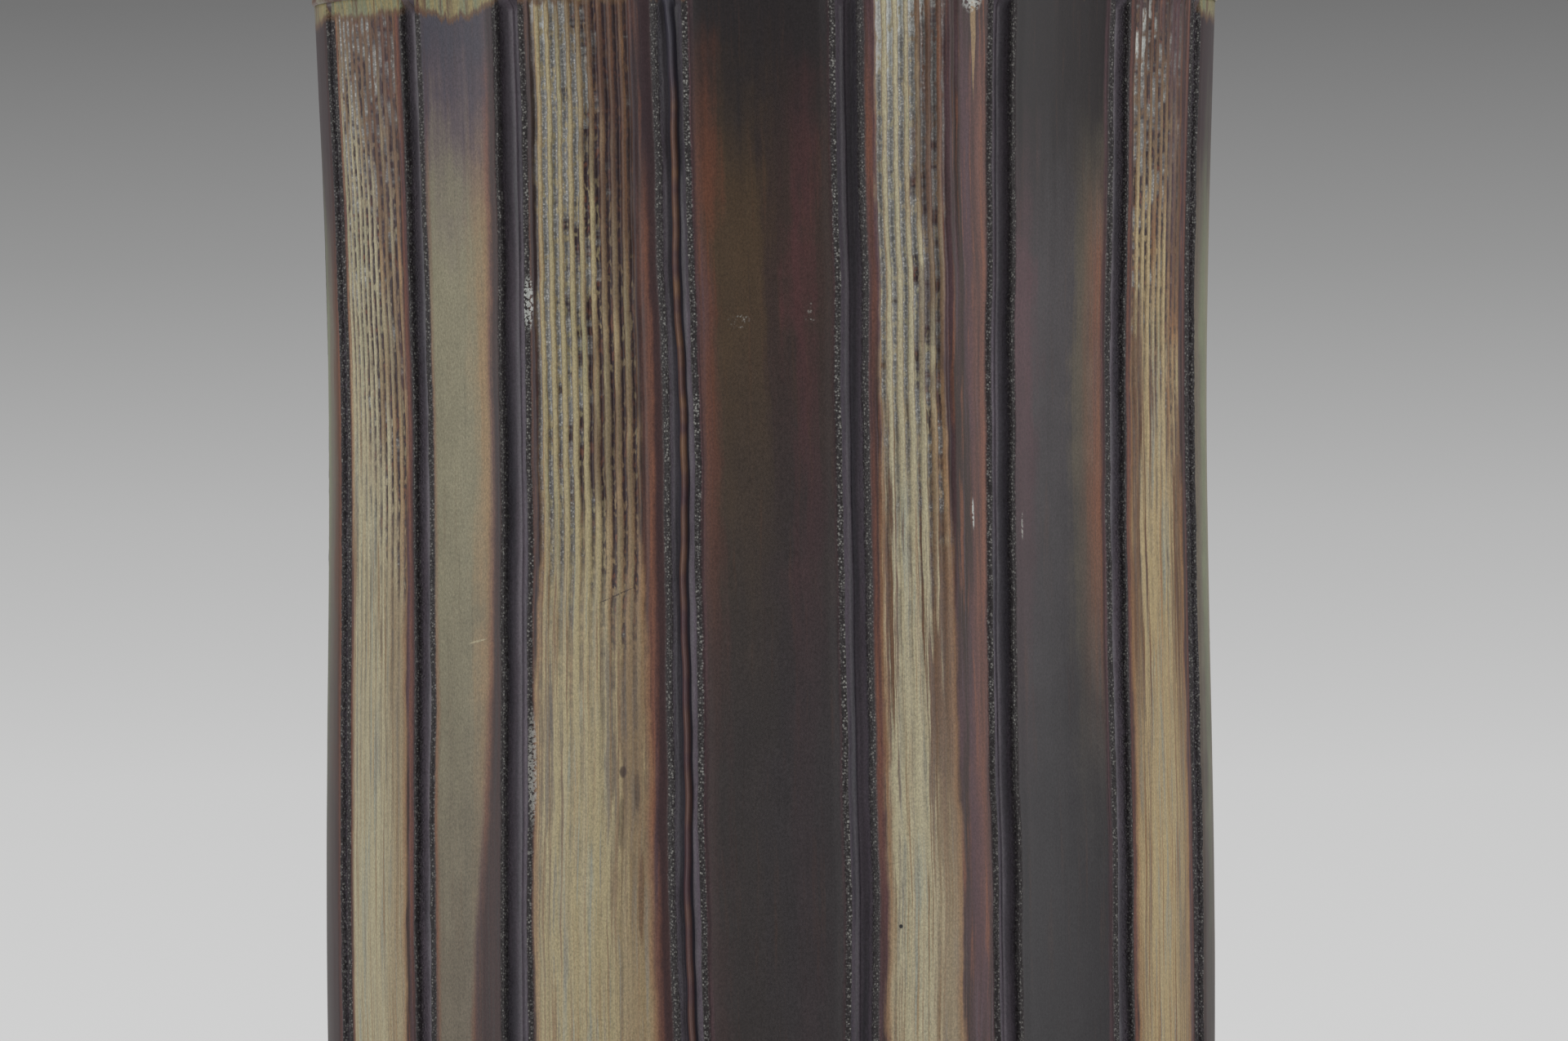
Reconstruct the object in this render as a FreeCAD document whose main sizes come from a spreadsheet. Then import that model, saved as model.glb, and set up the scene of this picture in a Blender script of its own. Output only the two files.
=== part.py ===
import FreeCAD, Part
import math
import os

import Sketcher

# A tall cylindrical flower vase. Upright panels stand side by side on a thrown wall, like
# split canes, with a groove between each pair: combed panels take turns with smooth ones.
# Millimetres and degrees. +Z is up, and the origin is the middle of the foot's underside.
# Angles go round the vase as seen from above: 0 faces -Y, and 90 faces +X.

SIZES = {
    "total_height": 280.0,
    "rim_height": 5.5,
    "rim_overhang": 0.5,
    "rim_rounding": 2.6,
    "foot_height": 8.0,
    "foot_setback": 1.6,
    "foot_width": 9.0,
    "foot_bevel": 1.2,
    "base_thickness": 6.0,
    "rim_radius": 66.0,
    "waist_radius": 64.4,
    "belly_radius": 65.0,
    "shin_radius": 64.4,
    "foot_radius": 62.8,
    "waist_drop": 54.0,
    "belly_drop": 66.0,
    "shin_rise": 66.0,
    "panel_thickness": 2.2,
    "wall_thickness": 4.2,
    "seat_gap": 0.1,
    "groove_width": 3.4,
    "fin_width": 0.8,
    "fin_height": 1.4,
    "comb_margin": 1.2,
    "flute_pitch": 1.65,
    "flute_depth": 0.35,
}

# Each groove's angle where it meets the rim, at the belly and at the foot. They were cut by
# hand, so they lean and bow, and their distances differ.
GROOVE_ANGLES = (
    (-73.9, -71.6, -70.6),
    (-51.2, -49.9, -49.4),
    (-34.0, -33.9, -33.2),
    (-12.0, -10.4, -9.0),
    (10.1, 11.5, 11.0),
    (31.1, 31.3, 32.8),
    (51.2, 51.3, 52.4),
    (72.0, 73.2, 75.0),
    (92.6, 92.9, 94.2),
    (110.9, 111.8, 112.6),
    (132.6, 132.0, 133.4),
    (151.4, 150.5, 151.2),
    (170.4, 171.6, 172.5),
    (191.0, 190.2, 190.6),
    (209.2, 209.9, 211.4),
    (229.6, 228.6, 228.9),
    (247.9, 249.4, 250.2),
    (268.4, 267.6, 268.8),
)
FIN_GROOVE = "groove_04"

# The share of a flute's pitch that its ridge takes.
RIDGE_SHARE = 0.5
# The most of its wall that a rounding or bevel may take.
ROUNDING_SHARE = 0.45

WALL_BOTTOM = "(Sizes.foot_height + Sizes.base_thickness)"
WALL_TOP = "(Sizes.total_height - Sizes.rim_height)"
WAIST_HEIGHT = f"({WALL_TOP} - Sizes.waist_drop)"
BELLY_HEIGHT = f"({WAIST_HEIGHT} - Sizes.belly_drop)"
SHIN_HEIGHT = f"({WALL_BOTTOM} + Sizes.shin_rise)"

# Each level's name and height. The outside radius at it is the size NAME_radius.
LEVELS = (
    ("foot", WALL_BOTTOM),
    ("shin", SHIN_HEIGHT),
    ("belly", BELLY_HEIGHT),
    ("waist", WAIST_HEIGHT),
    ("rim", WALL_TOP),
)
# The angles that a groove's angle at a level is the mean of.
ANGLE_SOURCES = {
    "foot": ("foot",),
    "shin": ("foot", "belly"),
    "belly": ("belly",),
    "waist": ("belly", "rim"),
    "rim": ("rim",),
}

FRONT = -90.0
FULL_TURN = 360.0

doc = FreeCAD.newDocument("BambooVase")


def groove_name(number):
    """A groove's name in the sheet. The groove past the last one is the first again."""
    return f"groove_{(number - 1) % len(GROOVE_ANGLES) + 1:02d}"


def make_sheet():
    """The driving dimensions, one named cell each."""
    sheet = doc.addObject("Spreadsheet::Sheet", "Sizes")
    cells = dict(SIZES)
    for number, angles in enumerate(GROOVE_ANGLES, 1):
        for place, angle in zip(("rim", "belly", "foot"), angles):
            cells[f"{groove_name(number)}_{place}"] = angle
    for row, (alias, value) in enumerate(cells.items(), 1):
        sheet.set(f"A{row}", alias)
        sheet.set(f"B{row}", str(value))
        sheet.setAlias(f"B{row}", alias)
    doc.recompute()
    return sheet


def groove_angle(groove, level):
    """The expression of a groove's angle at a level."""
    cells = [f"Sizes.{groove}_{place}" for place in ANGLE_SOURCES[level]]
    return f"(({' + '.join(cells)}) / {len(cells)})"


def edge_angle(radius, width):
    """The expression of the angle that half a width takes at a radius."""
    return f"({width} / 2 / {radius} * 180 / pi)"


def panel_edges(number, level):
    """The expressions of the angles of a panel's two edges at a level."""
    half_groove = edge_angle(f"Sizes.{level}_radius", "Sizes.groove_width")
    turns = number // len(GROOVE_ANGLES)
    start = f"({groove_angle(groove_name(number), level)} + {half_groove})"
    end = f"({groove_angle(groove_name(number + 1), level)} + {turns * FULL_TURN} - {half_groove})"
    return start, end


def seat_radius(level):
    """The expression of the radius that the panels' backs lie on."""
    return f"(Sizes.{level}_radius - Sizes.panel_thickness)"


def wall_radius(level):
    """The expression of the wall's outside radius."""
    return f"({seat_radius(level)} - Sizes.seat_gap)"


def bore_radius(level):
    """The expression of the wall's inside radius."""
    return f"({wall_radius(level)} - Sizes.wall_thickness)"


def make_body(label):
    """An empty body with a name of its own."""
    body = doc.addObject("PartDesign::Body", label)
    body.Label = label
    return body


def origin_feature(body, role):
    """The plane or axis of a body's own origin with that role."""
    return next(item for item in body.Origin.OriginFeatures if item.Role == role)


def add_sketch(body, name, plane, height=None):
    """A sketch on one of the body's origin planes, raised to a height where one is given."""
    sketch = body.newObject("Sketcher::SketchObject", name)
    sketch.AttachmentSupport = [(origin_feature(body, plane), "")]
    sketch.MapMode = "FlatFace"
    if height:
        sketch.setExpression("AttachmentOffset.Base.z", height)
    return sketch


def add_size(sketch, name, constraint, expression):
    """A named constraint that follows an expression."""
    index = sketch.addConstraint(constraint)
    sketch.renameConstraint(index, name)
    sketch.setExpression(f"Constraints.{name}", expression)


def circle_sketch(body, level, height, radius):
    """One level of a round wall."""
    sketch = add_sketch(body, f"{body.Label}_{level}", "XY_Plane", height)
    start = Part.Circle(FreeCAD.Vector(), FreeCAD.Vector(0, 0, 1), sheet.evalExpression(radius))
    circle = sketch.addGeometry(start)
    sketch.addConstraint(Sketcher.Constraint("Coincident", circle, 3, -1, 1))
    add_size(sketch, "radius", Sketcher.Constraint("Radius", circle, start.Radius), radius)
    return sketch


def strip_sketch(body, level, height, inner, outer, start, end):
    """One level of a strip that lies on the wall: two arcs about the vase's axis, and two
    edges that point at it. The sketch is turned so that its X axis is the strip's middle."""
    sketch = add_sketch(body, f"{body.Label}_{level}", "XY_Plane", height)
    turn = f"(({start}) + ({end})) / 2 + {FRONT}"
    sketch.setExpression("AttachmentOffset.Rotation.Angle", turn)
    half = math.radians(sheet.evalExpression(f"(({end}) - ({start})) / 2"))
    arcs = []
    for radius in (inner, outer):
        circle = Part.Circle(FreeCAD.Vector(), FreeCAD.Vector(0, 0, 1), sheet.evalExpression(radius))
        arcs.append(sketch.addGeometry(Part.ArcOfCircle(circle, -half, half)))
    edges = []
    for corner in (1, 2):
        ends = [sketch.getPoint(arc, corner) for arc in arcs]
        edges.append(sketch.addGeometry(Part.LineSegment(*ends)))
    constraints = []
    for corner, edge in zip((1, 2), edges):
        constraints.append(Sketcher.Constraint("Coincident", arcs[0], corner, edge, 1))
        constraints.append(Sketcher.Constraint("Coincident", arcs[1], corner, edge, 2))
        constraints.append(Sketcher.Constraint("PointOnObject", -1, 1, edge))
    constraints += [Sketcher.Constraint("Coincident", arc, 3, -1, 1) for arc in arcs]
    constraints.append(Sketcher.Constraint("Symmetric", arcs[1], 1, arcs[1], 2, -1))
    sketch.addConstraint(constraints)
    for name, arc, radius in (("inner", arcs[0], inner), ("outer", arcs[1], outer)):
        size = Sketcher.Constraint("Radius", arc, sheet.evalExpression(radius))
        add_size(sketch, name, size, radius)
    spread = Sketcher.Constraint("Angle", edges[0], 1, edges[1], 1, 2 * half)
    add_size(sketch, "spread", spread, f"(({end}) - ({start})) * 1 deg")
    return sketch


def ring_sketch(body, inner, outer, bottom, top):
    """The section of a ring: a rectangle beside the vase's axis."""
    sketch = add_sketch(body, f"{body.Label}_section", "XZ_Plane")
    low, high, near, far = (sheet.evalExpression(text) for text in (bottom, top, inner, outer))
    corners = [(near, low), (far, low), (far, high), (near, high)]
    points = [FreeCAD.Vector(x, y, 0) for x, y in corners]
    sides = [sketch.addGeometry(Part.LineSegment(a, b)) for a, b in zip(points, points[1:] + points[:1])]
    constraints = [Sketcher.Constraint("Horizontal", side) for side in sides[::2]]
    constraints += [Sketcher.Constraint("Vertical", side) for side in sides[1::2]]
    for side, following in zip(sides, sides[1:] + sides[:1]):
        constraints.append(Sketcher.Constraint("Coincident", side, 2, following, 1))
    sketch.addConstraint(constraints)
    for name, axis, corner, value, text in (
        ("inner", "DistanceX", 0, near, inner),
        ("outer", "DistanceX", 1, far, outer),
        ("bottom", "DistanceY", 0, low, bottom),
        ("top", "DistanceY", 2, high, top),
    ):
        size = Sketcher.Constraint(axis, -1, 1, sides[corner], 1, value)
        add_size(sketch, name, size, text)
    return sketch


def make_loft(body, kind, sketches):
    """A smooth loft through a body's level sketches."""
    loft = body.newObject(f"PartDesign::{kind}Loft", f"{body.Label}_{kind}")
    loft.Profile = sketches[0]
    loft.Sections = sketches[1:]
    return loft


def make_ring(label, inner, outer, bottom, top):
    """A ring turned about the vase's axis."""
    body = make_body(label)
    sketch = ring_sketch(body, inner, outer, bottom, top)
    turned = body.newObject("PartDesign::Revolution", f"{label}_turned")
    turned.Profile = sketch
    turned.ReferenceAxis = (origin_feature(body, "Z_Axis"), [""])
    turned.Angle = FULL_TURN
    doc.recompute()
    return body, turned


def edges_at(feature, height):
    """The names of a feature's edges that lie at a height."""
    level = sheet.evalExpression(height)
    names = []
    for index, edge in enumerate(feature.Shape.Edges, 1):
        if max(abs(edge.BoundBox.ZMin - level), abs(edge.BoundBox.ZMax - level)) < Part.Precision.confusion():
            names.append(f"Edge{index}")
    return names


def make_rim():
    """The plain band that closes the panels' tops, with a rounded lip."""
    outer = "Sizes.rim_radius + Sizes.rim_overhang"
    top = "Sizes.total_height"
    body, turned = make_ring("rim_band", bore_radius("rim"), outer, WALL_TOP, top)
    lip = body.newObject("PartDesign::Fillet", "rim_lip")
    lip.Base = (turned, edges_at(turned, top))
    widest = f"{ROUNDING_SHARE} * min({outer} - {bore_radius('rim')}; Sizes.rim_height)"
    lip.setExpression("Radius", f"min(Sizes.rim_rounding; {widest})")
    return body


def make_foot():
    """The unglazed ring that the vase stands on, set back under the base."""
    outer = "(Sizes.foot_radius - Sizes.foot_setback)"
    inner = f"({outer} - Sizes.foot_width)"
    body, turned = make_ring("foot_ring", inner, outer, "0", "Sizes.foot_height")
    bevel = body.newObject("PartDesign::Chamfer", "foot_bevel")
    bevel.Base = (turned, edges_at(turned, "0"))
    widest = f"{ROUNDING_SHARE} * min(Sizes.foot_width; Sizes.foot_height)"
    bevel.setExpression("Size", f"min(Sizes.foot_bevel; {widest})")
    return body


def make_base():
    """The round slab that the wall and the panels stand on."""
    base = doc.addObject("Part::Cylinder", "base_slab")
    base.Label = "base_slab"
    base.setExpression("Radius", "Sizes.foot_radius")
    base.setExpression("Height", "Sizes.base_thickness")
    base.setExpression("Placement.Base.z", "Sizes.foot_height")
    return base


def make_wall():
    """The thrown wall behind the panels, as thick at the waist as at the belly."""
    body = make_body("inner_wall")
    outside = [circle_sketch(body, f"{name}_outside", z, wall_radius(name)) for name, z in LEVELS]
    make_loft(body, "Additive", outside)
    inside = [circle_sketch(body, f"{name}_inside", z, bore_radius(name)) for name, z in LEVELS]
    make_loft(body, "Subtractive", inside)
    return body


def make_plain_panel(label, number):
    """A smooth panel between two grooves."""
    body = make_body(label)
    sketches = []
    for name, height in LEVELS:
        start, end = panel_edges(number, name)
        outer = f"Sizes.{name}_radius"
        sketches.append(strip_sketch(body, name, height, seat_radius(name), outer, start, end))
    make_loft(body, "Additive", sketches)
    return body


def make_fin(label):
    """The thin strip left standing along the middle of the groove that was cut twice."""
    body = make_body(label)
    sketches = []
    for name, height in LEVELS:
        half = edge_angle(seat_radius(name), "Sizes.fin_width")
        middle = groove_angle(FIN_GROOVE, name)
        outer = f"{seat_radius(name)} + Sizes.fin_height"
        start, end = f"{middle} - {half}", f"{middle} + {half}"
        sketches.append(strip_sketch(body, name, height, seat_radius(name), outer, start, end))
    make_loft(body, "Additive", sketches)
    return body


def point_at(radius, angle, height):
    """A point on the vase by its radius, its angle from the front and its height."""
    turn = math.radians(angle + FRONT)
    return FreeCAD.Vector(radius * math.cos(turn), radius * math.sin(turn), height)


def flute_count(number):
    """How many flutes the comb leaves between a panel's two margins at the belly."""
    start, end = (sheet.evalExpression(text) for text in panel_edges(number, "belly"))
    width = math.radians(end - start) * sheet.evalExpression("Sizes.belly_radius")
    margins = 2 * sheet.evalExpression("Sizes.comb_margin")
    return max(1, round((width - margins) / sheet.evalExpression("Sizes.flute_pitch")))


def comb_section(number, level, height, flutes):
    """One level of a combed panel: its face is a row of hollow flutes between flat ridges."""
    start, end = (sheet.evalExpression(text) for text in panel_edges(number, level))
    inner, outer = sheet.evalExpression(seat_radius(level)), sheet.evalExpression(f"Sizes.{level}_radius")
    z = sheet.evalExpression(height)
    bottom = outer - sheet.evalExpression("Sizes.flute_depth")
    margin = math.degrees(sheet.evalExpression("Sizes.comb_margin") / outer)
    pitch = (end - start - 2 * margin) / flutes
    hollow = pitch * (1 - RIDGE_SHARE)
    edges = []
    angle = start
    for index in range(flutes):
        first = start + margin + index * pitch + (pitch - hollow) / 2
        edges.append(arc_edge(outer, outer, angle, first, z))
        edges.append(arc_edge(outer, bottom, first, first + hollow, z))
        angle = first + hollow
    edges.append(arc_edge(outer, outer, angle, end, z))
    edges.append(Part.LineSegment(point_at(outer, end, z), point_at(inner, end, z)).toShape())
    edges.append(arc_edge(inner, inner, end, start, z))
    edges.append(Part.LineSegment(point_at(inner, start, z), point_at(outer, start, z)).toShape())
    return Part.Wire(edges)


def arc_edge(radius, middle_radius, start, end, height):
    """An arc between two angles, whose middle lies at a radius of its own."""
    ends = point_at(radius, start, height), point_at(radius, end, height)
    middle = point_at(middle_radius, (start + end) / 2, height)
    return Part.Arc(ends[0], middle, ends[1]).toShape()


def make_combed_panel(label, number):
    """A panel whose face was combed. How many flutes fit is worked out from its width, which
    a sketch with a fixed number of arcs can't follow."""
    flutes = flute_count(number)
    sections = [comb_section(number, name, height, flutes) for name, height in LEVELS]
    panel = doc.addObject("Part::Feature", label)
    panel.Label = label
    panel.Shape = Part.makeLoft(sections, True)
    panel.Placement = FreeCAD.Placement()
    return panel


def make_panels():
    """All panels round the vase: the odd ones are combed, the even ones are smooth."""
    panels = []
    for number in range(1, len(GROOVE_ANGLES) + 1):
        if number % 2:
            panels.append(make_combed_panel(f"combed_panel_{number:02d}", number))
        else:
            panels.append(make_plain_panel(f"smooth_panel_{number:02d}", number))
    return panels


def check(pieces):
    """Stops at an object that failed, or a piece without a sound solid."""
    for item in doc.Objects:
        if {"Invalid", "Error"} & set(item.State):
            raise RuntimeError(f"{item.Label}: {item.State}")
    for piece in pieces:
        if piece.Shape.isNull() or not piece.Shape.isValid() or not piece.Shape.Solids:
            raise RuntimeError(f"{piece.Label}: its shape isn't a sound solid")


def export(pieces):
    """Writes each piece to a file of its own and prints its size."""
    os.makedirs("parts", exist_ok=True)
    for piece in pieces:
        piece.Shape.exportStep(f"parts/{piece.Label}.step")
        box = piece.Shape.BoundBox
        print(f"{piece.Label}: {piece.Shape.Volume:.1f} mm3, z {box.ZMin:.2f} to {box.ZMax:.2f}")


sheet = make_sheet()
pieces = [make_foot(), make_base(), make_wall(), make_rim(), make_fin("groove_fin")] + make_panels()
doc.recompute()
check(pieces)
export(pieces)
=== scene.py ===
"""A tall stoneware vase, glazed: combed and smooth upright panels stand round it like split bamboo.

Lengths in the classes are millimetres, and the meshes are written in metres. Angles are degrees
round the vase as seen from above: 0 faces the viewer (-Y), and 90 faces +X.
"""
import logging
import math
from dataclasses import dataclass, replace
from enum import Enum
from functools import cached_property
from types import SimpleNamespace

import bpy
import numpy as np
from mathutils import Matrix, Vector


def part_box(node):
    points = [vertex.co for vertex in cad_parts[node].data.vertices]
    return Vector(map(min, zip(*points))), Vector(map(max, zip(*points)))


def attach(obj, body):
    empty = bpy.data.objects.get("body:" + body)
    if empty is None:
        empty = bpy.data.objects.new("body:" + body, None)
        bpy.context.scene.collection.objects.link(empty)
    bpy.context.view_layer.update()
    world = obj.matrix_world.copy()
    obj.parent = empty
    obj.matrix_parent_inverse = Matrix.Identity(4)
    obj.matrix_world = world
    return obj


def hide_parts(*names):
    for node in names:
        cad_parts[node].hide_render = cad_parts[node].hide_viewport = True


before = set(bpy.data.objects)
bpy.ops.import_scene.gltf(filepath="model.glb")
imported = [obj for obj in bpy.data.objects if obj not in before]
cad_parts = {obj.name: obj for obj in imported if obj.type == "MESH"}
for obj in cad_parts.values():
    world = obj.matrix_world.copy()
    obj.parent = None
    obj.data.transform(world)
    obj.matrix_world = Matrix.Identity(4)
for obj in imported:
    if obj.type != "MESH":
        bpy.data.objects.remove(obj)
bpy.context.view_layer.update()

MM = 0.001
FULL_TURN = 360.0
# The direction of the viewer, as an angle from +X.
FRONT = -90.0
LOG = logging.getLogger("vase")

Array = np.ndarray


class Glaze(Enum):
    """The fired colours, as sRGB values out of 255."""

    IRON_BLACK = (34, 30, 31)
    GROOVE_SLATE = (90, 82, 90)
    GROOVE_STEEL = (71, 68, 74)
    STEEL = (62, 60, 68)
    SLATE = (62, 58, 60)
    GREY_SLATE = (48, 46, 48)
    MAUVE = (82, 70, 76)
    PLUM = (76, 56, 60)
    DEEP_PLUM = (48, 35, 38)
    UMBER = (53, 41, 37)
    OLIVE_BROWN = (66, 52, 38)
    BROWN = (86, 58, 44)
    RUST = (118, 76, 57)
    DARK_RUST = (92, 57, 42)
    DARK_RED = (68, 43, 43)
    TOAST = (136, 101, 70)
    TAN = (136, 114, 86)
    UMBER_TAN = (112, 84, 64)
    DRIFTWOOD = (100, 92, 80)
    OLIVE_SLATE = (82, 75, 64)
    OLIVE = (123, 118, 98)
    STRAW = (134, 122, 84)
    MOSS = (112, 116, 92)
    CREAM = (150, 138, 106)
    WARM_CREAM = (157, 140, 106)
    PALE_CREAM = (158, 150, 124)
    BLUE_ASH = (132, 136, 126)
    DULL_ASH = (106, 105, 103)
    ASH = (150, 149, 143)
    PALE_ASH = (174, 176, 172)
    FROST = (198, 199, 196)
    TOASTED_CLAY = (134, 96, 70)
    PALE_CLAY = (164, 132, 102)
    FLOOR = (208, 208, 208)

    @property
    def linear(self) -> tuple[float, float, float, float]:
        """The colour as linear light."""
        return linear_colour(self.value)


def linear_colour(srgb: tuple[int, int, int]) -> tuple[float, float, float, float]:
    """Turns an sRGB colour out of 255 into linear light.

    Args:
        srgb: Red, green and blue.

    Returns:
        Red, green, blue and alpha.
    """
    shares = (value / 255 for value in srgb)
    red, green, blue = (s / 12.92 if s <= 0.04045 else ((s + 0.055) / 1.055) ** 2.4 for s in shares)
    return red, green, blue, 1.0


def smooth_step(value: Array, low: float, high: float) -> Array:
    """Rises from 0 to 1 without corners.

    Args:
        value: Any numbers.
        low: Where the rise starts.
        high: Where it ends. It may lie under low, and then the step falls.

    Returns:
        Numbers from 0 to 1.
    """
    share = np.clip((value - low) / (high - low), 0.0, 1.0)
    return share * share * (3.0 - 2.0 * share)


def lattice_noise(across: Array, along: Array, cells: tuple[float, float], seed: int) -> Array:
    """Smooth noise on a seeded lattice.

    Args:
        across: Places across.
        along: Places along.
        cells: The lattice's cell across and along.
        seed: The lattice's own seed.

    Returns:
        Numbers from 0 to 1.
    """
    size = 512
    table = np.random.default_rng(seed).random((size, size))
    x, y = across / cells[0], along / cells[1]
    column, row = np.floor(x).astype(int), np.floor(y).astype(int)
    share_x, share_y = (smooth_step(part, 0.0, 1.0) for part in (x - column, y - row))
    left, right = column % size, (column + 1) % size
    lines = (row % size, (row + 1) % size)
    low, high = (table[line, left] * (1 - share_x) + table[line, right] * share_x for line in lines)
    return low * (1 - share_y) + high * share_y


class Curve:
    """A natural cubic curve through a few points."""

    def __init__(self, places: list[float], values: list[float]) -> None:
        """Works out the curve's bend at each point.

        Args:
            places: Where the points lie, in rising order.
            values: The curve's value at each.
        """
        self.places, self.values = np.array(places), np.array(values)
        steps, rises = np.diff(self.places), np.diff(self.values)
        count = len(places)
        matrix, bends = np.eye(count), np.zeros(count)
        for index in range(1, count - 1):
            before, after = steps[index - 1], steps[index]
            matrix[index, index - 1 : index + 2] = before, 2 * (before + after), after
            bends[index] = 6 * (rises[index] / after - rises[index - 1] / before)
        self.bends = np.linalg.solve(matrix, bends)

    def at(self, place: Array) -> Array:
        """Reads the curve.

        Args:
            place: Where to read it.

        Returns:
            The value at each place.
        """
        index = np.clip(np.searchsorted(self.places, place) - 1, 0, len(self.places) - 2)
        start, end = self.places[index], self.places[index + 1]
        step = end - start
        before, after = (end - place) / step, (place - start) / step
        straight = before * self.values[index] + after * self.values[index + 1]
        bend_before = (before**3 - before) * self.bends[index]
        bend_after = (after**3 - after) * self.bends[index + 1]
        return straight + (bend_before + bend_after) * step**2 / 6


@dataclass(frozen=True)
class Wander:
    """A line's slow, seeded wobble along its length."""

    seed: int
    reach: float
    wavelengths: tuple[float, ...]

    def at(self, height: Array) -> Array:
        """How far the line strays to either side.

        Args:
            height: Where along the line.

        Returns:
            Millimetres.
        """
        phases = np.random.default_rng(self.seed).uniform(0, 2 * math.pi, len(self.wavelengths))
        total = np.zeros_like(height)
        for order, (length, phase) in enumerate(zip(self.wavelengths, phases), 1):
            total += np.sin(2 * math.pi * height / length + phase) / order
        return total * self.reach


@dataclass(frozen=True)
class Form:
    """The thrown shape, from the foot of the panels to their tops."""

    rim_overhang: float = 0.5
    waist_radius: float = 64.4
    belly_radius: float = 65.0
    shin_radius: float = 64.4
    waist_drop: float = 54.0
    belly_drop: float = 66.0
    shin_rise: float = 66.0
    panel_thickness: float = 2.2
    seat_gap: float = 0.1
    wall_thickness: float = 4.2

    @cached_property
    def bottom(self) -> float:
        """The height at which the panels start."""
        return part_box("inner_wall")[0].z / MM

    @cached_property
    def top(self) -> float:
        """The height at which the panels end."""
        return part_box("inner_wall")[1].z / MM

    @cached_property
    def rim_radius(self) -> float:
        """The panels' radius at their tops."""
        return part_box("rim_band")[1].x / MM - self.rim_overhang

    @cached_property
    def foot_radius(self) -> float:
        """The panels' radius at their feet, which is the base's."""
        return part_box("base_slab")[1].x / MM

    @cached_property
    def levels(self) -> list[float]:
        """The heights at which the form is given: foot, shin, belly, waist and rim."""
        waist = self.top - self.waist_drop
        return [self.bottom, self.bottom + self.shin_rise, waist - self.belly_drop, waist, self.top]

    @cached_property
    def outline(self) -> Curve:
        """The panels' outside radius by height."""
        radii = [self.foot_radius, self.shin_radius, self.belly_radius, self.waist_radius, self.rim_radius]
        return Curve(self.levels, radii)

    def radius(self, height: Array) -> Array:
        """The panels' outside radius at each height."""
        return self.outline.at(height)

    def heights(self, rows: int) -> Array:
        """Evenly spaced heights from the foot of the panels to their tops."""
        return np.linspace(self.bottom, self.top, rows)

    def ends(self, height: Array, foot: float, rim: float) -> Array:
        """A number that rises from 0 to 1 over the lengths foot and rim at the panels' two ends."""
        foot_rise = smooth_step(height, self.bottom, self.bottom + foot)
        return foot_rise * smooth_step(height, self.top, self.top - rim)

    def track(self, rim: float, belly: float, foot: float) -> Curve:
        """A groove's angle by height, from its angles at three heights."""
        return Curve(self.levels, [foot, (foot + belly) / 2, belly, (belly + rim) / 2, rim])


FORM = Form()


class Side(Enum):
    """The side of a groove that a panel lies on."""

    BEFORE = -1
    AFTER = 1


@dataclass(frozen=True)
class Groove:
    """A groove between two panels, cut by hand into the soft clay."""

    number: int
    angles: tuple[float, float, float]
    width: float = 3.3
    depth: float = 1.8
    burr_height: float = 0.22
    burr_width: float = 0.42
    roundness: float = 2.3
    end_length: float = 2.6
    edge_sag: float = 0.16
    ripple: float = 0.05
    wander: float = 0.12
    edge_wander: float = 0.06

    def centre(self, height: Array) -> Array:
        """The angle of the groove's middle at each height."""
        stray = Wander(self.number * 11, self.wander, (97.0, 43.0, 21.0)).at(height)
        return FORM.track(*self.angles).at(height) + np.degrees(stray / FORM.radius(height))

    def half_width(self, side: Side, height: Array) -> Array:
        """How far the groove's edge on that side lies from its middle, height by height."""
        stray = Wander(self.number * 11 + side.value, self.edge_wander, (31.0, 11.0, 4.1))
        return self.width / 2 + stray.at(height)

    def cut(self, side: Side, inward: Array, height: Array) -> Array:
        """How far the groove and its burr lower or raise the surface.

        Args:
            side: Which of its two edges.
            inward: Distance from that edge onto the panel, and negative inside the groove.
            height: Heights, as many as inward has.

        Returns:
            Millimetres outward.
        """
        seed = self.number * 100 + side.value
        share = np.clip(-inward / self.half_width(side, height), 0.0, 1.0)
        hollow = (1 - (1 - share) ** self.roundness) ** (1 / self.roundness)
        ends = FORM.ends(height, self.end_length, self.end_length)
        lumps = lattice_noise(inward, height, (0.34, 0.62), seed)
        swell = lattice_noise(inward, height, (3.0, 5.5), seed + 1)
        bead = np.exp(-(((inward - 0.1) / self.burr_width) ** 2))
        burr = bead * self.burr_height * (0.25 + 0.9 * swell) * (0.45 + 0.9 * lumps) * (0.3 + 0.7 * ends)
        sag = self.edge_sag * smooth_step(inward, 2.6, 0.9) * smooth_step(inward, 0.2, 0.9)
        ripple = self.ripple * (lattice_noise(inward, height, (0.5, 2.4), seed + 2) - 0.5) * (share > 0)
        return burr - hollow * self.depth * ends - sag + ripple


def round_points(radius: Array, angle: Array, height: Array) -> Array:
    """Points by radius, angle and height.

    Args:
        radius: Millimetres from the vase's axis.
        angle: Degrees from the front.
        height: Millimetres from the ground.

    Returns:
        An array like the given ones, with x, y and z in metres as its last axis.
    """
    turn = np.radians(angle + FRONT)
    return np.stack([radius * np.cos(turn), radius * np.sin(turn), height], axis=-1) * MM


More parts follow.
